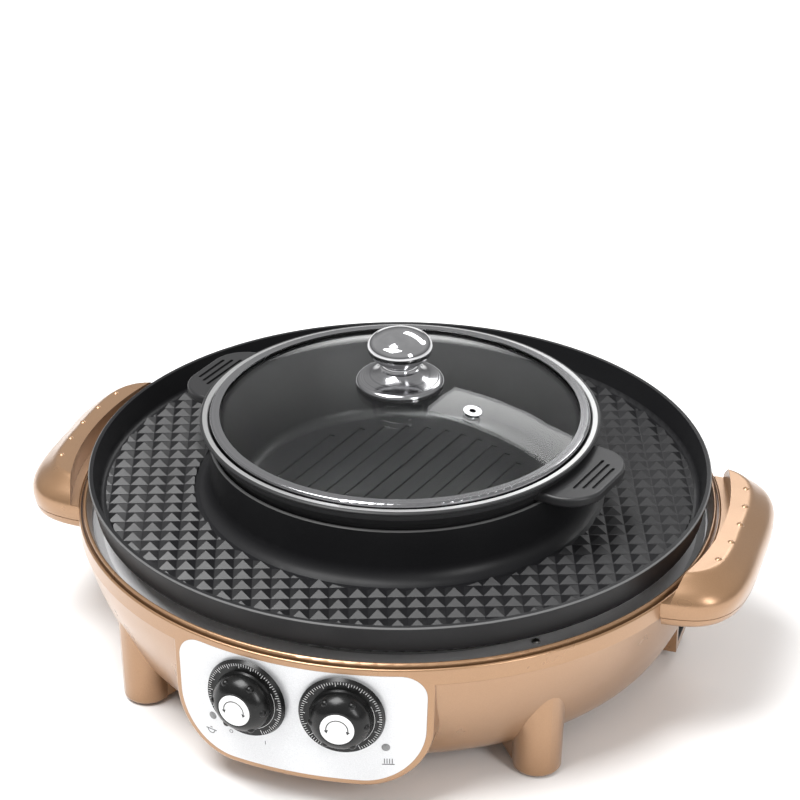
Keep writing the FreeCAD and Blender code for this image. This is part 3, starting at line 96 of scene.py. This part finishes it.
room_strength = 0.54
room_shade_end = 0.02
room_white_start = 0.42
room = bpy.data.worlds.new("room")
bpy.context.scene.world = room
room.use_nodes = True
room_nodes = room.node_tree.nodes
room_links = room.node_tree.links
room_nodes["Background"].inputs["Strength"].default_value = room_strength
room_place = room_nodes.new("ShaderNodeTexCoord")
room_height = room_nodes.new("ShaderNodeSeparateXYZ")
room_shade = room_nodes.new("ShaderNodeValToRGB")
room_shade.color_ramp.elements[0].position = room_shade_end
room_shade.color_ramp.elements[0].color = (0.40, 0.40, 0.41, 1)
room_shade.color_ramp.elements[1].position = room_white_start
room_shade.color_ramp.elements[1].color = (1, 1, 1, 1)
room_links.new(room_place.outputs["Generated"], room_height.inputs["Vector"])
room_links.new(room_height.outputs["Z"], room_shade.inputs["Fac"])
room_links.new(room_shade.outputs["Color"], room_nodes["Background"].inputs["Color"])


def lamp(name, place, target, width, height, watts):
    """Rectangular lamp at a place, turned to face a target."""
    data = bpy.data.lights.new(name, "AREA")
    data.shape = "RECTANGLE"
    data.size = width
    data.size_y = height
    data.energy = watts
    light = bpy.data.objects.new(name, data)
    bpy.context.scene.collection.objects.link(light)
    light.location = place
    light.rotation_euler = (Vector(target) - Vector(place)).to_track_quat("-Z", "Y").to_euler()


lamp("key_lamp", place=(-0.6, -0.6, 2.5), target=(0, 0, 0.1), width=1.5, height=1.5, watts=90)
lamp("side_lamp", place=(1.9, -1.3, 1.2), target=(0, 0, 0.1), width=0.5, height=1.2, watts=20)
lamp("back_lamp", place=(0.4, 2.0, 1.7), target=(0, 0, 0.15), width=1.6, height=0.6, watts=16)

# ---------------------------------------------------------------- housing
# Bowl with four legs and the bottom cover: mouldings of ABS, sprayed with a satin champagne lacquer that
# holds fine metal flake. The cover closes the bowl from below with four screws.
lacquer_dark = (0.330, 0.180, 0.086)
lacquer_light = (0.380, 0.216, 0.108)
cloud_detail = 3.0
noise_low = 0.3
noise_high = 0.7
tone_low = 0.35
tone_high = 0.65


def noise_over(material, scale, detail):
    """Socket with a noise that lies fixed in the piece, at so many grains to the metre."""
    tree = material.node_tree
    place = tree.nodes.new("ShaderNodeTexCoord")
    noise = tree.nodes.new("ShaderNodeTexNoise")
    noise.inputs["Scale"].default_value = scale
    noise.inputs["Detail"].default_value = detail
    tree.links.new(place.outputs["Object"], noise.inputs["Vector"])
    return noise.outputs["Fac"]


def relief(material, pattern, depth, strength):
    """Let a pattern raise and sink the surface."""
    tree = material.node_tree
    bump = tree.nodes.new("ShaderNodeBump")
    bump.inputs["Distance"].default_value = depth
    bump.inputs["Strength"].default_value = strength
    tree.links.new(pattern, bump.inputs["Height"])
    tree.links.new(bump.outputs["Normal"], shader_of(material).inputs["Normal"])


def tones(material, pattern, dark, light):
    """Let the colour drift from dark to light with a pattern."""
    tree = material.node_tree
    ramp = tree.nodes.new("ShaderNodeValToRGB")
    ramp.color_ramp.elements[0].position = tone_low
    ramp.color_ramp.elements[0].color = (*dark, 1)
    ramp.color_ramp.elements[1].position = tone_high
    ramp.color_ramp.elements[1].color = (*light, 1)
    tree.links.new(pattern, ramp.inputs["Fac"])
    tree.links.new(ramp.outputs["Color"], shader_of(material).inputs["Base Color"])


def gloss(material, pattern, smooth, rough):
    """Let the roughness run from smooth to rough with a pattern."""
    tree = material.node_tree
    spread = tree.nodes.new("ShaderNodeMapRange")
    spread.inputs["From Min"].default_value = noise_low
    spread.inputs["From Max"].default_value = noise_high
    spread.inputs["To Min"].default_value = smooth
    spread.inputs["To Max"].default_value = rough
    tree.links.new(pattern, spread.inputs["Value"])
    tree.links.new(spread.outputs["Result"], shader_of(material).inputs["Roughness"])


def cloudy_gloss(material, scale, smooth, rough):
    """Roughness that changes softly from place to place, as on handled or sprayed surfaces."""
    gloss(material, noise_over(material, scale, cloud_detail), smooth, rough)


def grained(name, dark, light, roughness=0.5, metallic=0.0, *, grain, depth, strength, detail=2.0):
    """New material with a fine uneven skin, whose colour drifts between two tones with it."""
    material = plain(name, light, roughness, metallic)
    skin = noise_over(material, grain, detail)
    relief(material, skin, depth, strength)
    tones(material, skin, dark, light)
    return material


def lacquer(name):
    """Champagne lacquer: fine flake under a clear coat."""
    material = grained(name, lacquer_dark, lacquer_light, metallic=0.62,
                       grain=2500.0, depth=0.00002, strength=0.03)
    shader = shader_of(material)
    shader.inputs["Coat Weight"].default_value = 0.7
    shader.inputs["Coat IOR"].default_value = 1.6
    shader.inputs["Coat Roughness"].default_value = 0.3
    cloudy_gloss(material, 35.0, 0.27, 0.34)
    return material


def wear(material, *names):
    """Give CAD nodes a material."""
    for name in names:
        for slot in nodes[name].material_slots:
            slot.material = material


champagne = lacquer("champagne_lacquer")
wear(champagne, "lower_shell", "bottom_cover")

# ---------------------------------------------------------------- band and rim ring
# The band with the panel's bezel and the ring round the well are mouldings in the same lacquer. The ring
# drops on the band and leaves a groove, which is painted dark down to its floor as its shade.
groove_width = 0.0016
groove_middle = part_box("rim_ring")[1].x + groove_width / 2
# Painted shade in the groove: half width, lowest height and dark colour of the strip painted there.
groove_shade_half = 0.0006
groove_shade_low = 0.1013
groove_painted_shade = (0.06, 0.022, 0.008)
mask_soft = 0.0001
above_all = 0.2


def both_masks(material, first, second):
    """Mask that is 1 where two masks are."""
    tree = material.node_tree
    product = tree.nodes.new("ShaderNodeMath")
    product.operation = "MULTIPLY"
    tree.links.new(first, product.inputs[0])
    tree.links.new(second, product.inputs[1])
    return product.outputs["Value"]


def between(material, value, low, high, soft=mask_soft):
    """Mask that is 1 between two values of a socket and 0 outside them."""
    tree = material.node_tree
    rise = tree.nodes.new("ShaderNodeMapRange")
    rise.inputs["From Min"].default_value = low - soft
    rise.inputs["From Max"].default_value = low
    fall = tree.nodes.new("ShaderNodeMapRange")
    fall.inputs["From Min"].default_value = high
    fall.inputs["From Max"].default_value = high + soft
    fall.inputs["To Min"].default_value = 1.0
    fall.inputs["To Max"].default_value = 0.0
    tree.links.new(value, rise.inputs["Value"])
    tree.links.new(value, fall.inputs["Value"])
    return both_masks(material, rise.outputs["Result"], fall.outputs["Result"])


def around_axis(material):
    """Sockets for the distance from the pot's axis and for the height."""
    tree = material.node_tree
    place = tree.nodes.new("ShaderNodeTexCoord")
    split = tree.nodes.new("ShaderNodeSeparateXYZ")
    flat = tree.nodes.new("ShaderNodeCombineXYZ")
    reach = tree.nodes.new("ShaderNodeVectorMath")
    reach.operation = "LENGTH"
    tree.links.new(place.outputs["Object"], split.inputs["Vector"])
    tree.links.new(split.outputs["X"], flat.inputs["X"])
    tree.links.new(split.outputs["Y"], flat.inputs["Y"])
    tree.links.new(flat.outputs["Vector"], reach.inputs[0])
    return reach.outputs["Value"], split.outputs["Z"]


def paint_over(material, mask, color):
    """Lay a colour over the one that the material has, where the mask is 1."""
    tree = material.node_tree
    base_color = shader_of(material).inputs["Base Color"]
    mix = tree.nodes.new("ShaderNodeMix")
    mix.data_type = "RGBA"
    under, over, mixed = mix.inputs[6], mix.inputs[7], mix.outputs[2]  # its sockets for colours
    over.default_value = (*color, 1)
    tree.links.new(mask, mix.inputs["Factor"])
    tree.links.new(base_color.links[0].from_socket, under)
    tree.links.new(mixed, base_color)


# The same lacquer with painted shade: a dark brown strip painted in the groove between ring and band.
champagne_groove_shade = lacquer("champagne_groove_shade")
radius, height = around_axis(champagne_groove_shade)
groove_shade_mask = both_masks(champagne_groove_shade,
                       between(champagne_groove_shade, radius, groove_middle - groove_shade_half,
                               groove_middle + groove_shade_half),
                       between(champagne_groove_shade, height, groove_shade_low, above_all))
paint_over(champagne_groove_shade, groove_shade_mask, groove_painted_shade)
wear(champagne_groove_shade, "upper_housing", "rim_ring")

# ---------------------------------------------------------------- carrying handles
# Two mouldings screwed together on each side, in the housing's lacquer, with a split line low down and
# five grip bumps on the crest.
wear(champagne, "right_handle_top", "right_handle_base", "left_handle_top", "left_handle_base")

# ---------------------------------------------------------------- feet
# Four pads of black rubber pushed into the legs.
foot_rubber = grained("foot_rubber", (0.014, 0.014, 0.014), (0.035, 0.034, 0.033), 0.8,
                      grain=900.0, depth=0.0003, strength=0.3)
wear(foot_rubber, "rubber_feet")

# ---------------------------------------------------------------- screws and spindles
# Zinc-plated steel, cold headed, with the dull tumbled skin of plating.
screw_zinc = grained("screw_zinc", (0.36, 0.36, 0.35), (0.58, 0.58, 0.56), 0.34, 1.0,
                     grain=1200.0, depth=0.0002, strength=0.2)
wear(screw_zinc, "cover_screws", "deck_screws", "handle_screws", "bracket_screws", "lid_knob_screw",
     "pot_knob_shaft", "grill_knob_shaft", "thermal_fuse")

# ---------------------------------------------------------------- control panel
# A curved plate of sheet metal, sprayed silver white, let into the bezel. Its two indicator windows are
# smoked plastic over neon lamps.
panel_paint = grained("panel_paint", (0.655, 0.66, 0.67), (0.735, 0.74, 0.75), metallic=0.25,
                      grain=1800.0, depth=0.0001, strength=0.1)
cloudy_gloss(panel_paint, 40.0, 0.34, 0.44)
wear(panel_paint, "panel_plate")
lens_plastic = grained("lens_plastic", (0.19, 0.19, 0.19), (0.25, 0.25, 0.25), 0.25,
                       grain=700.0, depth=0.0001, strength=0.1)
wear(lens_plastic, "indicator_lenses")
lamp_plastic = grained("lamp_plastic", (0.5, 0.11, 0.06), (0.66, 0.18, 0.10), 0.2,
                       grain=500.0, depth=0.0001, strength=0.1)
wear(lamp_plastic, "indicator_lamps")

# ---------------------------------------------------------------- knobs
# Skirted knobs moulded in black phenolic with a polished dome and six raised nubs, and a white cap pressed
# into the top.
knob_black = grained("knob_black", (0.004, 0.004, 0.004), (0.008, 0.008, 0.008),
                     grain=1400.0, depth=0.00015, strength=0.12)
shader_of(knob_black).inputs["Specular IOR Level"].default_value = 0.32
cloudy_gloss(knob_black, 60.0, 0.22, 0.30)
wear(knob_black, "pot_knob_dial", "grill_knob_dial")
cap_white = grained("cap_white", (0.82, 0.82, 0.82), (0.89, 0.89, 0.89), 0.35,
                    grain=900.0, depth=0.0001, strength=0.1)
wear(cap_white, "pot_knob_cap", "grill_knob_cap")

# ---------------------------------------------------------------- knob scales
# White ticks printed round the skirt, every fifth one longer, with a gap at the bottom, and a thin light
# arc inside them on the lower right in the same light grey. Ticks and arc are about a tenth of a millimetre
# thick.
skirt_reach = 0.2186
tick_out = 0.0252
tick_short = 0.0017
tick_long = 0.0030
tick_width = 0.00028
tick_gap = math.radians(56.0)
tick_steps = 76
long_every = 5
thin_arc_in = 0.0206
thin_arc_out = 0.0208
thin_arc_first = math.radians(-80)
thin_arc_last = math.radians(28)
ink_thick = 0.00012
knob_turn_joints = {joint["child"]: joint for joint in frame["joints"] if joint["type"] == "hinge"}
scale_ink = grained("scale_ink", (0.72, 0.72, 0.72), (0.86, 0.86, 0.86), 0.5,
                    grain=2500.0, depth=0.00005, strength=0.1)


def pick(*pieces):
    """Select these pieces alone, the first of them active."""
    bpy.ops.object.select_all(action="DESELECT")
    for piece in pieces:
        piece.select_set(True)
    bpy.context.view_layer.objects.active = pieces[0]


def joined(name, *pieces):
    """Join pieces into the first one and name it."""
    pick(*pieces)
    bpy.ops.object.join()
    pieces[0].name = name
    return pieces[0]


def set_on_front(piece, azimuth, height, reach):
    """Stand a flat piece on the front with its +Z outwards, and keep its place in its mesh."""
    across = Vector((math.cos(azimuth), math.sin(azimuth), 0))
    out = Vector((math.sin(azimuth), -math.cos(azimuth), 0))
    piece.matrix_world = Matrix((across, Vector((0, 0, 1)), out)).transposed().to_4x4()
    piece.location = reach * out + Vector((0, 0, height))
    pick(piece)
    bpy.ops.object.transform_apply(location=True, rotation=True, scale=True)


def set_on_knob(piece, body, reach):
    """Put a print on a knob's own axis, so far out from the pot's axis."""
    spindle = Vector(knob_turn_joints[body]["pos_m"])
    set_on_front(piece, math.atan2(spindle.x, -spindle.y), spindle.z, reach)


def printed_bar(width, height, x, y, ink, turn=0.0):
    """Printed bar with its middle at x and y, turned anticlockwise."""
    bpy.ops.object.select_all(action="DESELECT")
    bpy.ops.mesh.primitive_cube_add(size=1, location=(x, y, 0))
    bar = bpy.context.object
    bar.scale = (width, height, ink_thick)
    bar.rotation_euler = (0, 0, turn)
    bpy.ops.object.transform_apply(location=True, rotation=True, scale=True)
    bar.data.materials.append(ink)
    return bar


def printed_arc(inner, outer, first, last, ink, parts=72):
    """Printed arc between two angles, counted anticlockwise from +X."""
    bpy.ops.object.select_all(action="DESELECT")
    bpy.ops.mesh.primitive_circle_add(vertices=parts, radius=inner, fill_type="NOTHING", location=(0, 0, 0))
    arc = bpy.context.object
    bpy.ops.object.mode_set(mode="EDIT")
    bpy.ops.mesh.select_mode(type="VERT")
    bpy.ops.mesh.select_all(action="SELECT")
    bpy.ops.mesh.extrude_region()
    bpy.ops.transform.resize(value=(outer / inner, outer / inner, 1), center_override=(0, 0, 0))
    bpy.ops.mesh.select_mode(type="FACE")
    bpy.ops.mesh.select_all(action="DESELECT")
    bpy.ops.object.mode_set(mode="OBJECT")
    for face in arc.data.polygons:
        angle = math.atan2(face.center.y, face.center.x)
        face.select = (angle - first) % math.tau > (last - first) % math.tau
    bpy.ops.object.mode_set(mode="EDIT")
    bpy.ops.mesh.delete(type="FACE")
    bpy.ops.mesh.select_all(action="SELECT")
    bpy.ops.mesh.normals_make_consistent(inside=False)
    bpy.ops.object.mode_set(mode="OBJECT")
    thicken = arc.modifiers.new("thicken", "SOLIDIFY")
    thicken.thickness = ink_thick
    thicken.offset = 0
    bpy.ops.object.modifier_apply(modifier="thicken")
    arc.data.materials.append(ink)
    return arc


for body in ("pot_knob", "grill_knob"):
    strokes = []
    for index in range(tick_steps + 1):
        length = tick_long if index % long_every == 0 else tick_short
        middle = tick_out - length / 2
        turn = -math.pi / 2 + tick_gap / 2 + index * (math.tau - tick_gap) / tick_steps
        strokes.append(printed_bar(length, tick_width, middle * math.cos(turn), middle * math.sin(turn),
                                   scale_ink, turn))
    strokes.append(printed_arc(thin_arc_in, thin_arc_out, thin_arc_first, thin_arc_last,
                               scale_ink, parts=144))
    scale = joined(body + "_scale", *strokes)
    set_on_knob(scale, body, skirt_reach)
    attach(scale, body)

# ---------------------------------------------------------------- turning arrows
# A dark arc with an arrowhead at each end, printed on each white cap.
cap_reach = 0.2325
arrow_radius = 0.0067
arrow_width = 0.0007
arrow_head = 0.0016
arrow_first = math.radians(-12)
arrow_last = math.radians(192)
arrow_ink = grained("arrow_ink", (0.02, 0.02, 0.02), (0.045, 0.045, 0.045), 0.5,
                    grain=2500.0, depth=0.00005, strength=0.1)
for body in ("pot_knob", "grill_knob"):
    strokes = [printed_arc(arrow_radius - arrow_width / 2, arrow_radius + arrow_width / 2,
                           arrow_first, arrow_last, arrow_ink)]
    for turn, way in ((arrow_first, -1), (arrow_last, 1)):
        bpy.ops.object.select_all(action="DESELECT")
        bpy.ops.mesh.primitive_cylinder_add(vertices=3, radius=arrow_head, depth=ink_thick)
        head = bpy.context.object
        head.rotation_euler = (0, 0, turn + way * math.pi / 2 - math.pi / 2)
        head.location = (arrow_radius * math.cos(turn), arrow_radius * math.sin(turn), 0)
        bpy.ops.object.transform_apply(location=True, rotation=True, scale=True)
        head.data.materials.append(arrow_ink)
        strokes.append(head)
    arrows = joined(body + "_arrows", *strokes)
    set_on_knob(arrows, body, cap_reach)
    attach(arrows, body)

# ---------------------------------------------------------------- panel signs
# Plain signs printed on the plate in dark grey: a pot and a grill below the indicator windows, and a ring
# for off and a bar for on at the foot of the pot's knob.
plate_reach = 0.21422
sign_azimuth = math.radians(15.6)
sign_height = 0.0375
sign_width = 0.0078
sign_line = 0.00055
pot_radius = 0.0023
pot_rim_rise = 0.0001
pot_lid_width = 0.0016
pot_lid_rise = 0.0016
grill_bars = 4
grill_pitch = 0.0016
grill_bar_length = 0.0036
grill_bar_rise = 0.0006
grill_tray_rise = -0.0018
off_azimuth = math.radians(-11.6)
off_height = 0.0412
off_radius = 0.0009
off_line = 0.7 * sign_line
on_azimuth = math.radians(-5.2)
on_height = 0.0400
on_length = 0.0026
on_line = 0.8 * sign_line
almost_round = 1.999 * math.pi
sign_ink = grained("sign_ink", (0.08, 0.08, 0.085), (0.13, 0.13, 0.135), 0.5,
                   grain=2500.0, depth=0.00005, strength=0.1)
pot_sign = [printed_arc(pot_radius, pot_radius + sign_line, math.pi, math.tau, sign_ink),
            printed_bar(sign_width, sign_line, 0, pot_rim_rise, sign_ink),
            printed_bar(pot_lid_width, sign_line, 0, pot_lid_rise, sign_ink)]
grill_sign = [printed_bar(sign_line, grill_bar_length, (index - (grill_bars - 1) / 2) * grill_pitch,
                          grill_bar_rise, sign_ink) for index in range(grill_bars)]
grill_sign.append(printed_bar(sign_width, sign_line, 0, grill_tray_rise, sign_ink))
off_sign = [printed_arc(off_radius, off_radius + off_line, 0, almost_round, sign_ink)]
on_sign = [printed_bar(on_line, on_length, 0, 0, sign_ink)]
for name, strokes, azimuth, height in (("pot_sign", pot_sign, -sign_azimuth, sign_height),
                                       ("grill_sign", grill_sign, sign_azimuth, sign_height),
                                       ("off_sign", off_sign, off_azimuth, off_height),
                                       ("on_sign", on_sign, on_azimuth, on_height)):
    sign = joined(name, *strokes)
    set_on_front(sign, azimuth, height, plate_reach)
    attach(sign, "base")

# ---------------------------------------------------------------- parts inside the bowl
# Black phenolic thermostats, socket and terminal block, brass contacts, ceramic bushes and silicone wires.
inner_black = grained("inner_black", (0.014, 0.014, 0.014), (0.03, 0.03, 0.03), 0.5,
                      grain=1000.0, depth=0.0002, strength=0.2)
wear(inner_black, "pot_thermostat", "grill_thermostat", "inlet_socket", "terminal_block")
brass = grained("brass", (0.60, 0.41, 0.15), (0.74, 0.54, 0.24), 0.3, 1.0,
                grain=1500.0, depth=0.0001, strength=0.15)
wear(brass, "inlet_pins")
# Painted shade: the ceramic bushes are painted near black, as the shade seen through the deck's holes round
# the heater legs.
ceramic_painted_shade = grained("ceramic_painted_shade", (0.03, 0.03, 0.03), (0.08, 0.08, 0.08), 0.6,
                  grain=1500.0, depth=0.0002, strength=0.2)
wear(ceramic_painted_shade, "heater_bushes")
wire_red = grained("wire_red", (0.38, 0.03, 0.025), (0.5, 0.05, 0.04), 0.5,
                   grain=900.0, depth=0.0001, strength=0.2)
wear(wire_red, "harness_wires")

# ---------------------------------------------------------------- reflector deck and bowl
# Pressed sheet steel under the heaters, rolled bright. It has fine lines round the axis, left by the
# polishing wheel, and a stamped bead whose floor is painted a darker grey as shade.
bead_in = 0.1694
bead_out = 0.1748
bead_low = 0.0882
bead_high = 0.0897
bead_painted_shade = (0.56, 0.56, 0.57)
lines_per_metre = 1500.0
line_depth = 0.00005


def spun(name, dark, light, metallic, strength, smooth, rough):
    """New material with fine lines round the upright axis, in its relief, its gloss and its tone."""
    material = plain(name, light, metallic=metallic)
    tree = material.node_tree
    radius, height = around_axis(material)
    run = tree.nodes.new("ShaderNodeMath")
    run.operation = "ADD"
    lines = tree.nodes.new("ShaderNodeTexNoise")
    lines.noise_dimensions = "1D"
    lines.inputs["Scale"].default_value = lines_per_metre
    lines.inputs["Detail"].default_value = cloud_detail
    tree.links.new(radius, run.inputs[0])
    tree.links.new(height, run.inputs[1])
    tree.links.new(run.outputs["Value"], lines.inputs["W"])
    relief(material, lines.outputs["Fac"], line_depth, strength)
    gloss(material, lines.outputs["Fac"], smooth, rough)
    tones(material, lines.outputs["Fac"], dark, light)
    return material


bright_steel = spun("bright_steel", (0.90, 0.90, 0.91), (0.95, 0.95, 0.96), metallic=0.18,
                    strength=0.03, smooth=0.30, rough=0.40)
radius, height = around_axis(bright_steel)
# Painted shade: the bead's floor is painted a darker grey.
bead_shade_mask = both_masks(bright_steel, between(bright_steel, radius, bead_in, bead_out, soft=0.0004),
                     between(bright_steel, height, bead_low, bead_high, soft=0.0002))
paint_over(bright_steel, bead_shade_mask, bead_painted_shade)
wear(bright_steel, "reflector_deck", "inner_bowl")

# ---------------------------------------------------------------- heater brackets
# Stamped and folded angles of galvanised sheet, dull where the zinc has taken the heat. Their grey is
# painted darker than the zinc's own, as the shade on their faces.
zinc_with_painted_shade = grained("zinc_with_painted_shade", (0.30, 0.30, 0.305), (0.42, 0.42, 0.425), 0.38, 0.9,
                    grain=200.0, depth=0.00005, strength=0.05, detail=4.0)
wear(zinc_with_painted_shade, "grill_heater_brackets", "pot_heater_brackets")

# ---------------------------------------------------------------- heaters
# Tubular elements of stainless steel, drawn, bent and annealed to a grey-brown bloom.
element_steel = grained("element_steel", (0.22, 0.218, 0.216), (0.29, 0.29, 0.295), metallic=0.95,
                        grain=120.0, depth=0.00005, strength=0.04, detail=3.0)
cloudy_gloss(element_steel, 50.0, 0.28, 0.36)
wear(element_steel, "grill_heater", "pot_heater")

# ---------------------------------------------------------------- grill pan
# Cast aluminium ring with a black non-stick coating, sprayed on a shot-blasted skin. The outer edge of the
# lip and the collar's top are painted grey as a highlight.
lip_edge_in = 0.2057
lip_edge_out = 0.2067
lip_edge_low = 0.1281
lip_edge_high = 0.1300
collar_edge = 0.0007
collar_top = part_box("grill_pan")[1].z
coating_dark = (0.007, 0.007, 0.008)
coating_light = (0.013, 0.013, 0.014)
painted_edge_highlight = (0.13, 0.13, 0.13)
pan_coat = grained("pan_coat", coating_dark, coating_light, grain=3000.0, depth=0.00004, strength=0.06)
shader_of(pan_coat).inputs["Specular IOR Level"].default_value = 0.22
cloudy_gloss(pan_coat, 30.0, 0.36, 0.48)
radius, height = around_axis(pan_coat)
# Painted highlight: the lip's outer edge and the collar's top are painted grey.
lip_highlight_mask = both_masks(pan_coat, between(pan_coat, radius, lip_edge_in, lip_edge_out),
                    between(pan_coat, height, lip_edge_low, lip_edge_high))
paint_over(pan_coat, lip_highlight_mask, painted_edge_highlight)
paint_over(pan_coat, between(pan_coat, height, collar_top - collar_edge, above_all), painted_edge_highlight)
wear(pan_coat, "grill_pan")

# ---------------------------------------------------------------- waffle floor of the pan
# Rows of low pyramids cast in the pan's floor. They fill the ring between the collar's flare and the
# wall's inner corner, and their flanks have a smoother, glossier coat than the walls.
waffle_floor = 0.1114
waffle_pitch = 0.0120
waffle_rise = 0.0030
waffle_in = 0.1372
waffle_out = 0.1955
waffle_turn = math.radians(19.0)
waffle_cells = 34
waffle_skirt = 0.0003
waffle_side = waffle_cells * waffle_pitch
cutter_depth = 4 * waffle_rise
cutter_facets = 180
bpy.ops.object.select_all(action="DESELECT")
bpy.ops.mesh.primitive_grid_add(x_subdivisions=2 * waffle_cells, y_subdivisions=2 * waffle_cells,
                                size=waffle_side, location=(0, 0, 0))
waffle = bpy.context.object
waffle.name = "pan_waffle"
bpy.ops.object.mode_set(mode="EDIT")
bpy.ops.mesh.select_mode(type="VERT")
bpy.ops.mesh.select_all(action="DESELECT")
bpy.ops.object.mode_set(mode="OBJECT")
for corner in waffle.data.vertices:
    column = round((corner.co.x + waffle_side / 2) / (waffle_pitch / 2))
    row = round((corner.co.y + waffle_side / 2) / (waffle_pitch / 2))
    corner.select = column % 2 == 1 and row % 2 == 1
bpy.ops.object.mode_set(mode="EDIT")
bpy.ops.transform.translate(value=(0, 0, waffle_rise))
bpy.ops.mesh.select_all(action="SELECT")
bpy.ops.mesh.quads_convert_to_tris(quad_method="LONGEST_DIAGONAL")
bpy.ops.object.mode_set(mode="OBJECT")
skirt = waffle.modifiers.new("skirt", "SOLIDIFY")
skirt.thickness = waffle_skirt
skirt.offset = -1
bpy.ops.object.modifier_apply(modifier="skirt")
waffle.rotation_euler = (0, 0, waffle_turn)
waffle.location = (0, 0, waffle_floor)
bpy.ops.object.transform_apply(location=True, rotation=True, scale=True)
for trim_radius, operation in ((waffle_out, "INTERSECT"), (waffle_in, "DIFFERENCE")):
    bpy.ops.object.select_all(action="DESELECT")
    bpy.ops.mesh.primitive_cylinder_add(vertices=cutter_facets, radius=trim_radius, depth=cutter_depth,
                                        location=(0, 0, waffle_floor))
    cutter = bpy.context.object
    trim = waffle.modifiers.new("trim", "BOOLEAN")
    trim.operation = operation
    trim.object = cutter
    pick(waffle)
    bpy.ops.object.modifier_apply(modifier="trim")
    bpy.data.objects.remove(cutter)
waffle_coat = grained("waffle_coat", coating_dark, coating_light,
                      grain=3000.0, depth=0.00004, strength=0.05)
cloudy_gloss(waffle_coat, 30.0, 0.33, 0.43)
waffle.data.materials.clear()
waffle.data.materials.append(waffle_coat)
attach(waffle, "pan")

# ---------------------------------------------------------------- pot
# Cast aluminium pot under black non-stick coating. The flange's top, up to a dark outer lip, is painted
# bright grey metal: partly bare machined metal, partly a painted highlight.
bright_in = 0.1266
bright_out = 0.1300
bright_cut = 0.0005
flange_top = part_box("pot_shell")[1].z
pot_coat = grained("pot_coat", (0.013, 0.013, 0.014), (0.018, 0.018, 0.019), 0.4,
                   grain=1500.0, depth=0.00002, strength=0.02)
radius, height = around_axis(pot_coat)
# Bright grey metal painted on the flange's top, partly bare metal and partly a painted highlight.
machined_and_highlight_mask = both_masks(pot_coat, between(pot_coat, radius, bright_in, bright_out),
                      between(pot_coat, height, flange_top - bright_cut, above_all))
paint_over(pot_coat, machined_and_highlight_mask, (0.62, 0.62, 0.62))
pot_coat.node_tree.links.new(machined_and_highlight_mask, shader_of(pot_coat).inputs["Metallic"])
wear(pot_coat, "pot_shell")

# ---------------------------------------------------------------- lid
# Domed tempered glass in a rolled band of polished steel, with a silicone seal, a steel eyelet for steam,
# and a chromed knob on a pressed bell.
lid_glass = plain("lid_glass", (0.94, 0.955, 0.95))
shader_of(lid_glass).inputs["Transmission Weight"].default_value = 1.0
shader_of(lid_glass).inputs["IOR"].default_value = 1.22
cloudy_gloss(lid_glass, 25.0, 0.0, 0.012)
wear(lid_glass, "lid_glass")
seal_silicone = grained("seal_silicone", (0.022, 0.022, 0.022), (0.04, 0.04, 0.04), 0.6,
                        grain=900.0, depth=0.0001, strength=0.2)
wear(seal_silicone, "lid_gasket", "lid_pad")
polished_steel = spun("polished_steel", (0.32, 0.32, 0.33), (0.40, 0.40, 0.41), metallic=1.0,
                      strength=0.05, smooth=0.12, rough=0.20)
wear(polished_steel, "lid_band", "steam_vent", "lid_knob_bell")
chrome = grained("chrome", (0.48, 0.48, 0.49), (0.55, 0.55, 0.56), 0.07, 1.0,
                 grain=90.0, depth=0.00001, strength=0.02)
wear(chrome, "lid_knob")
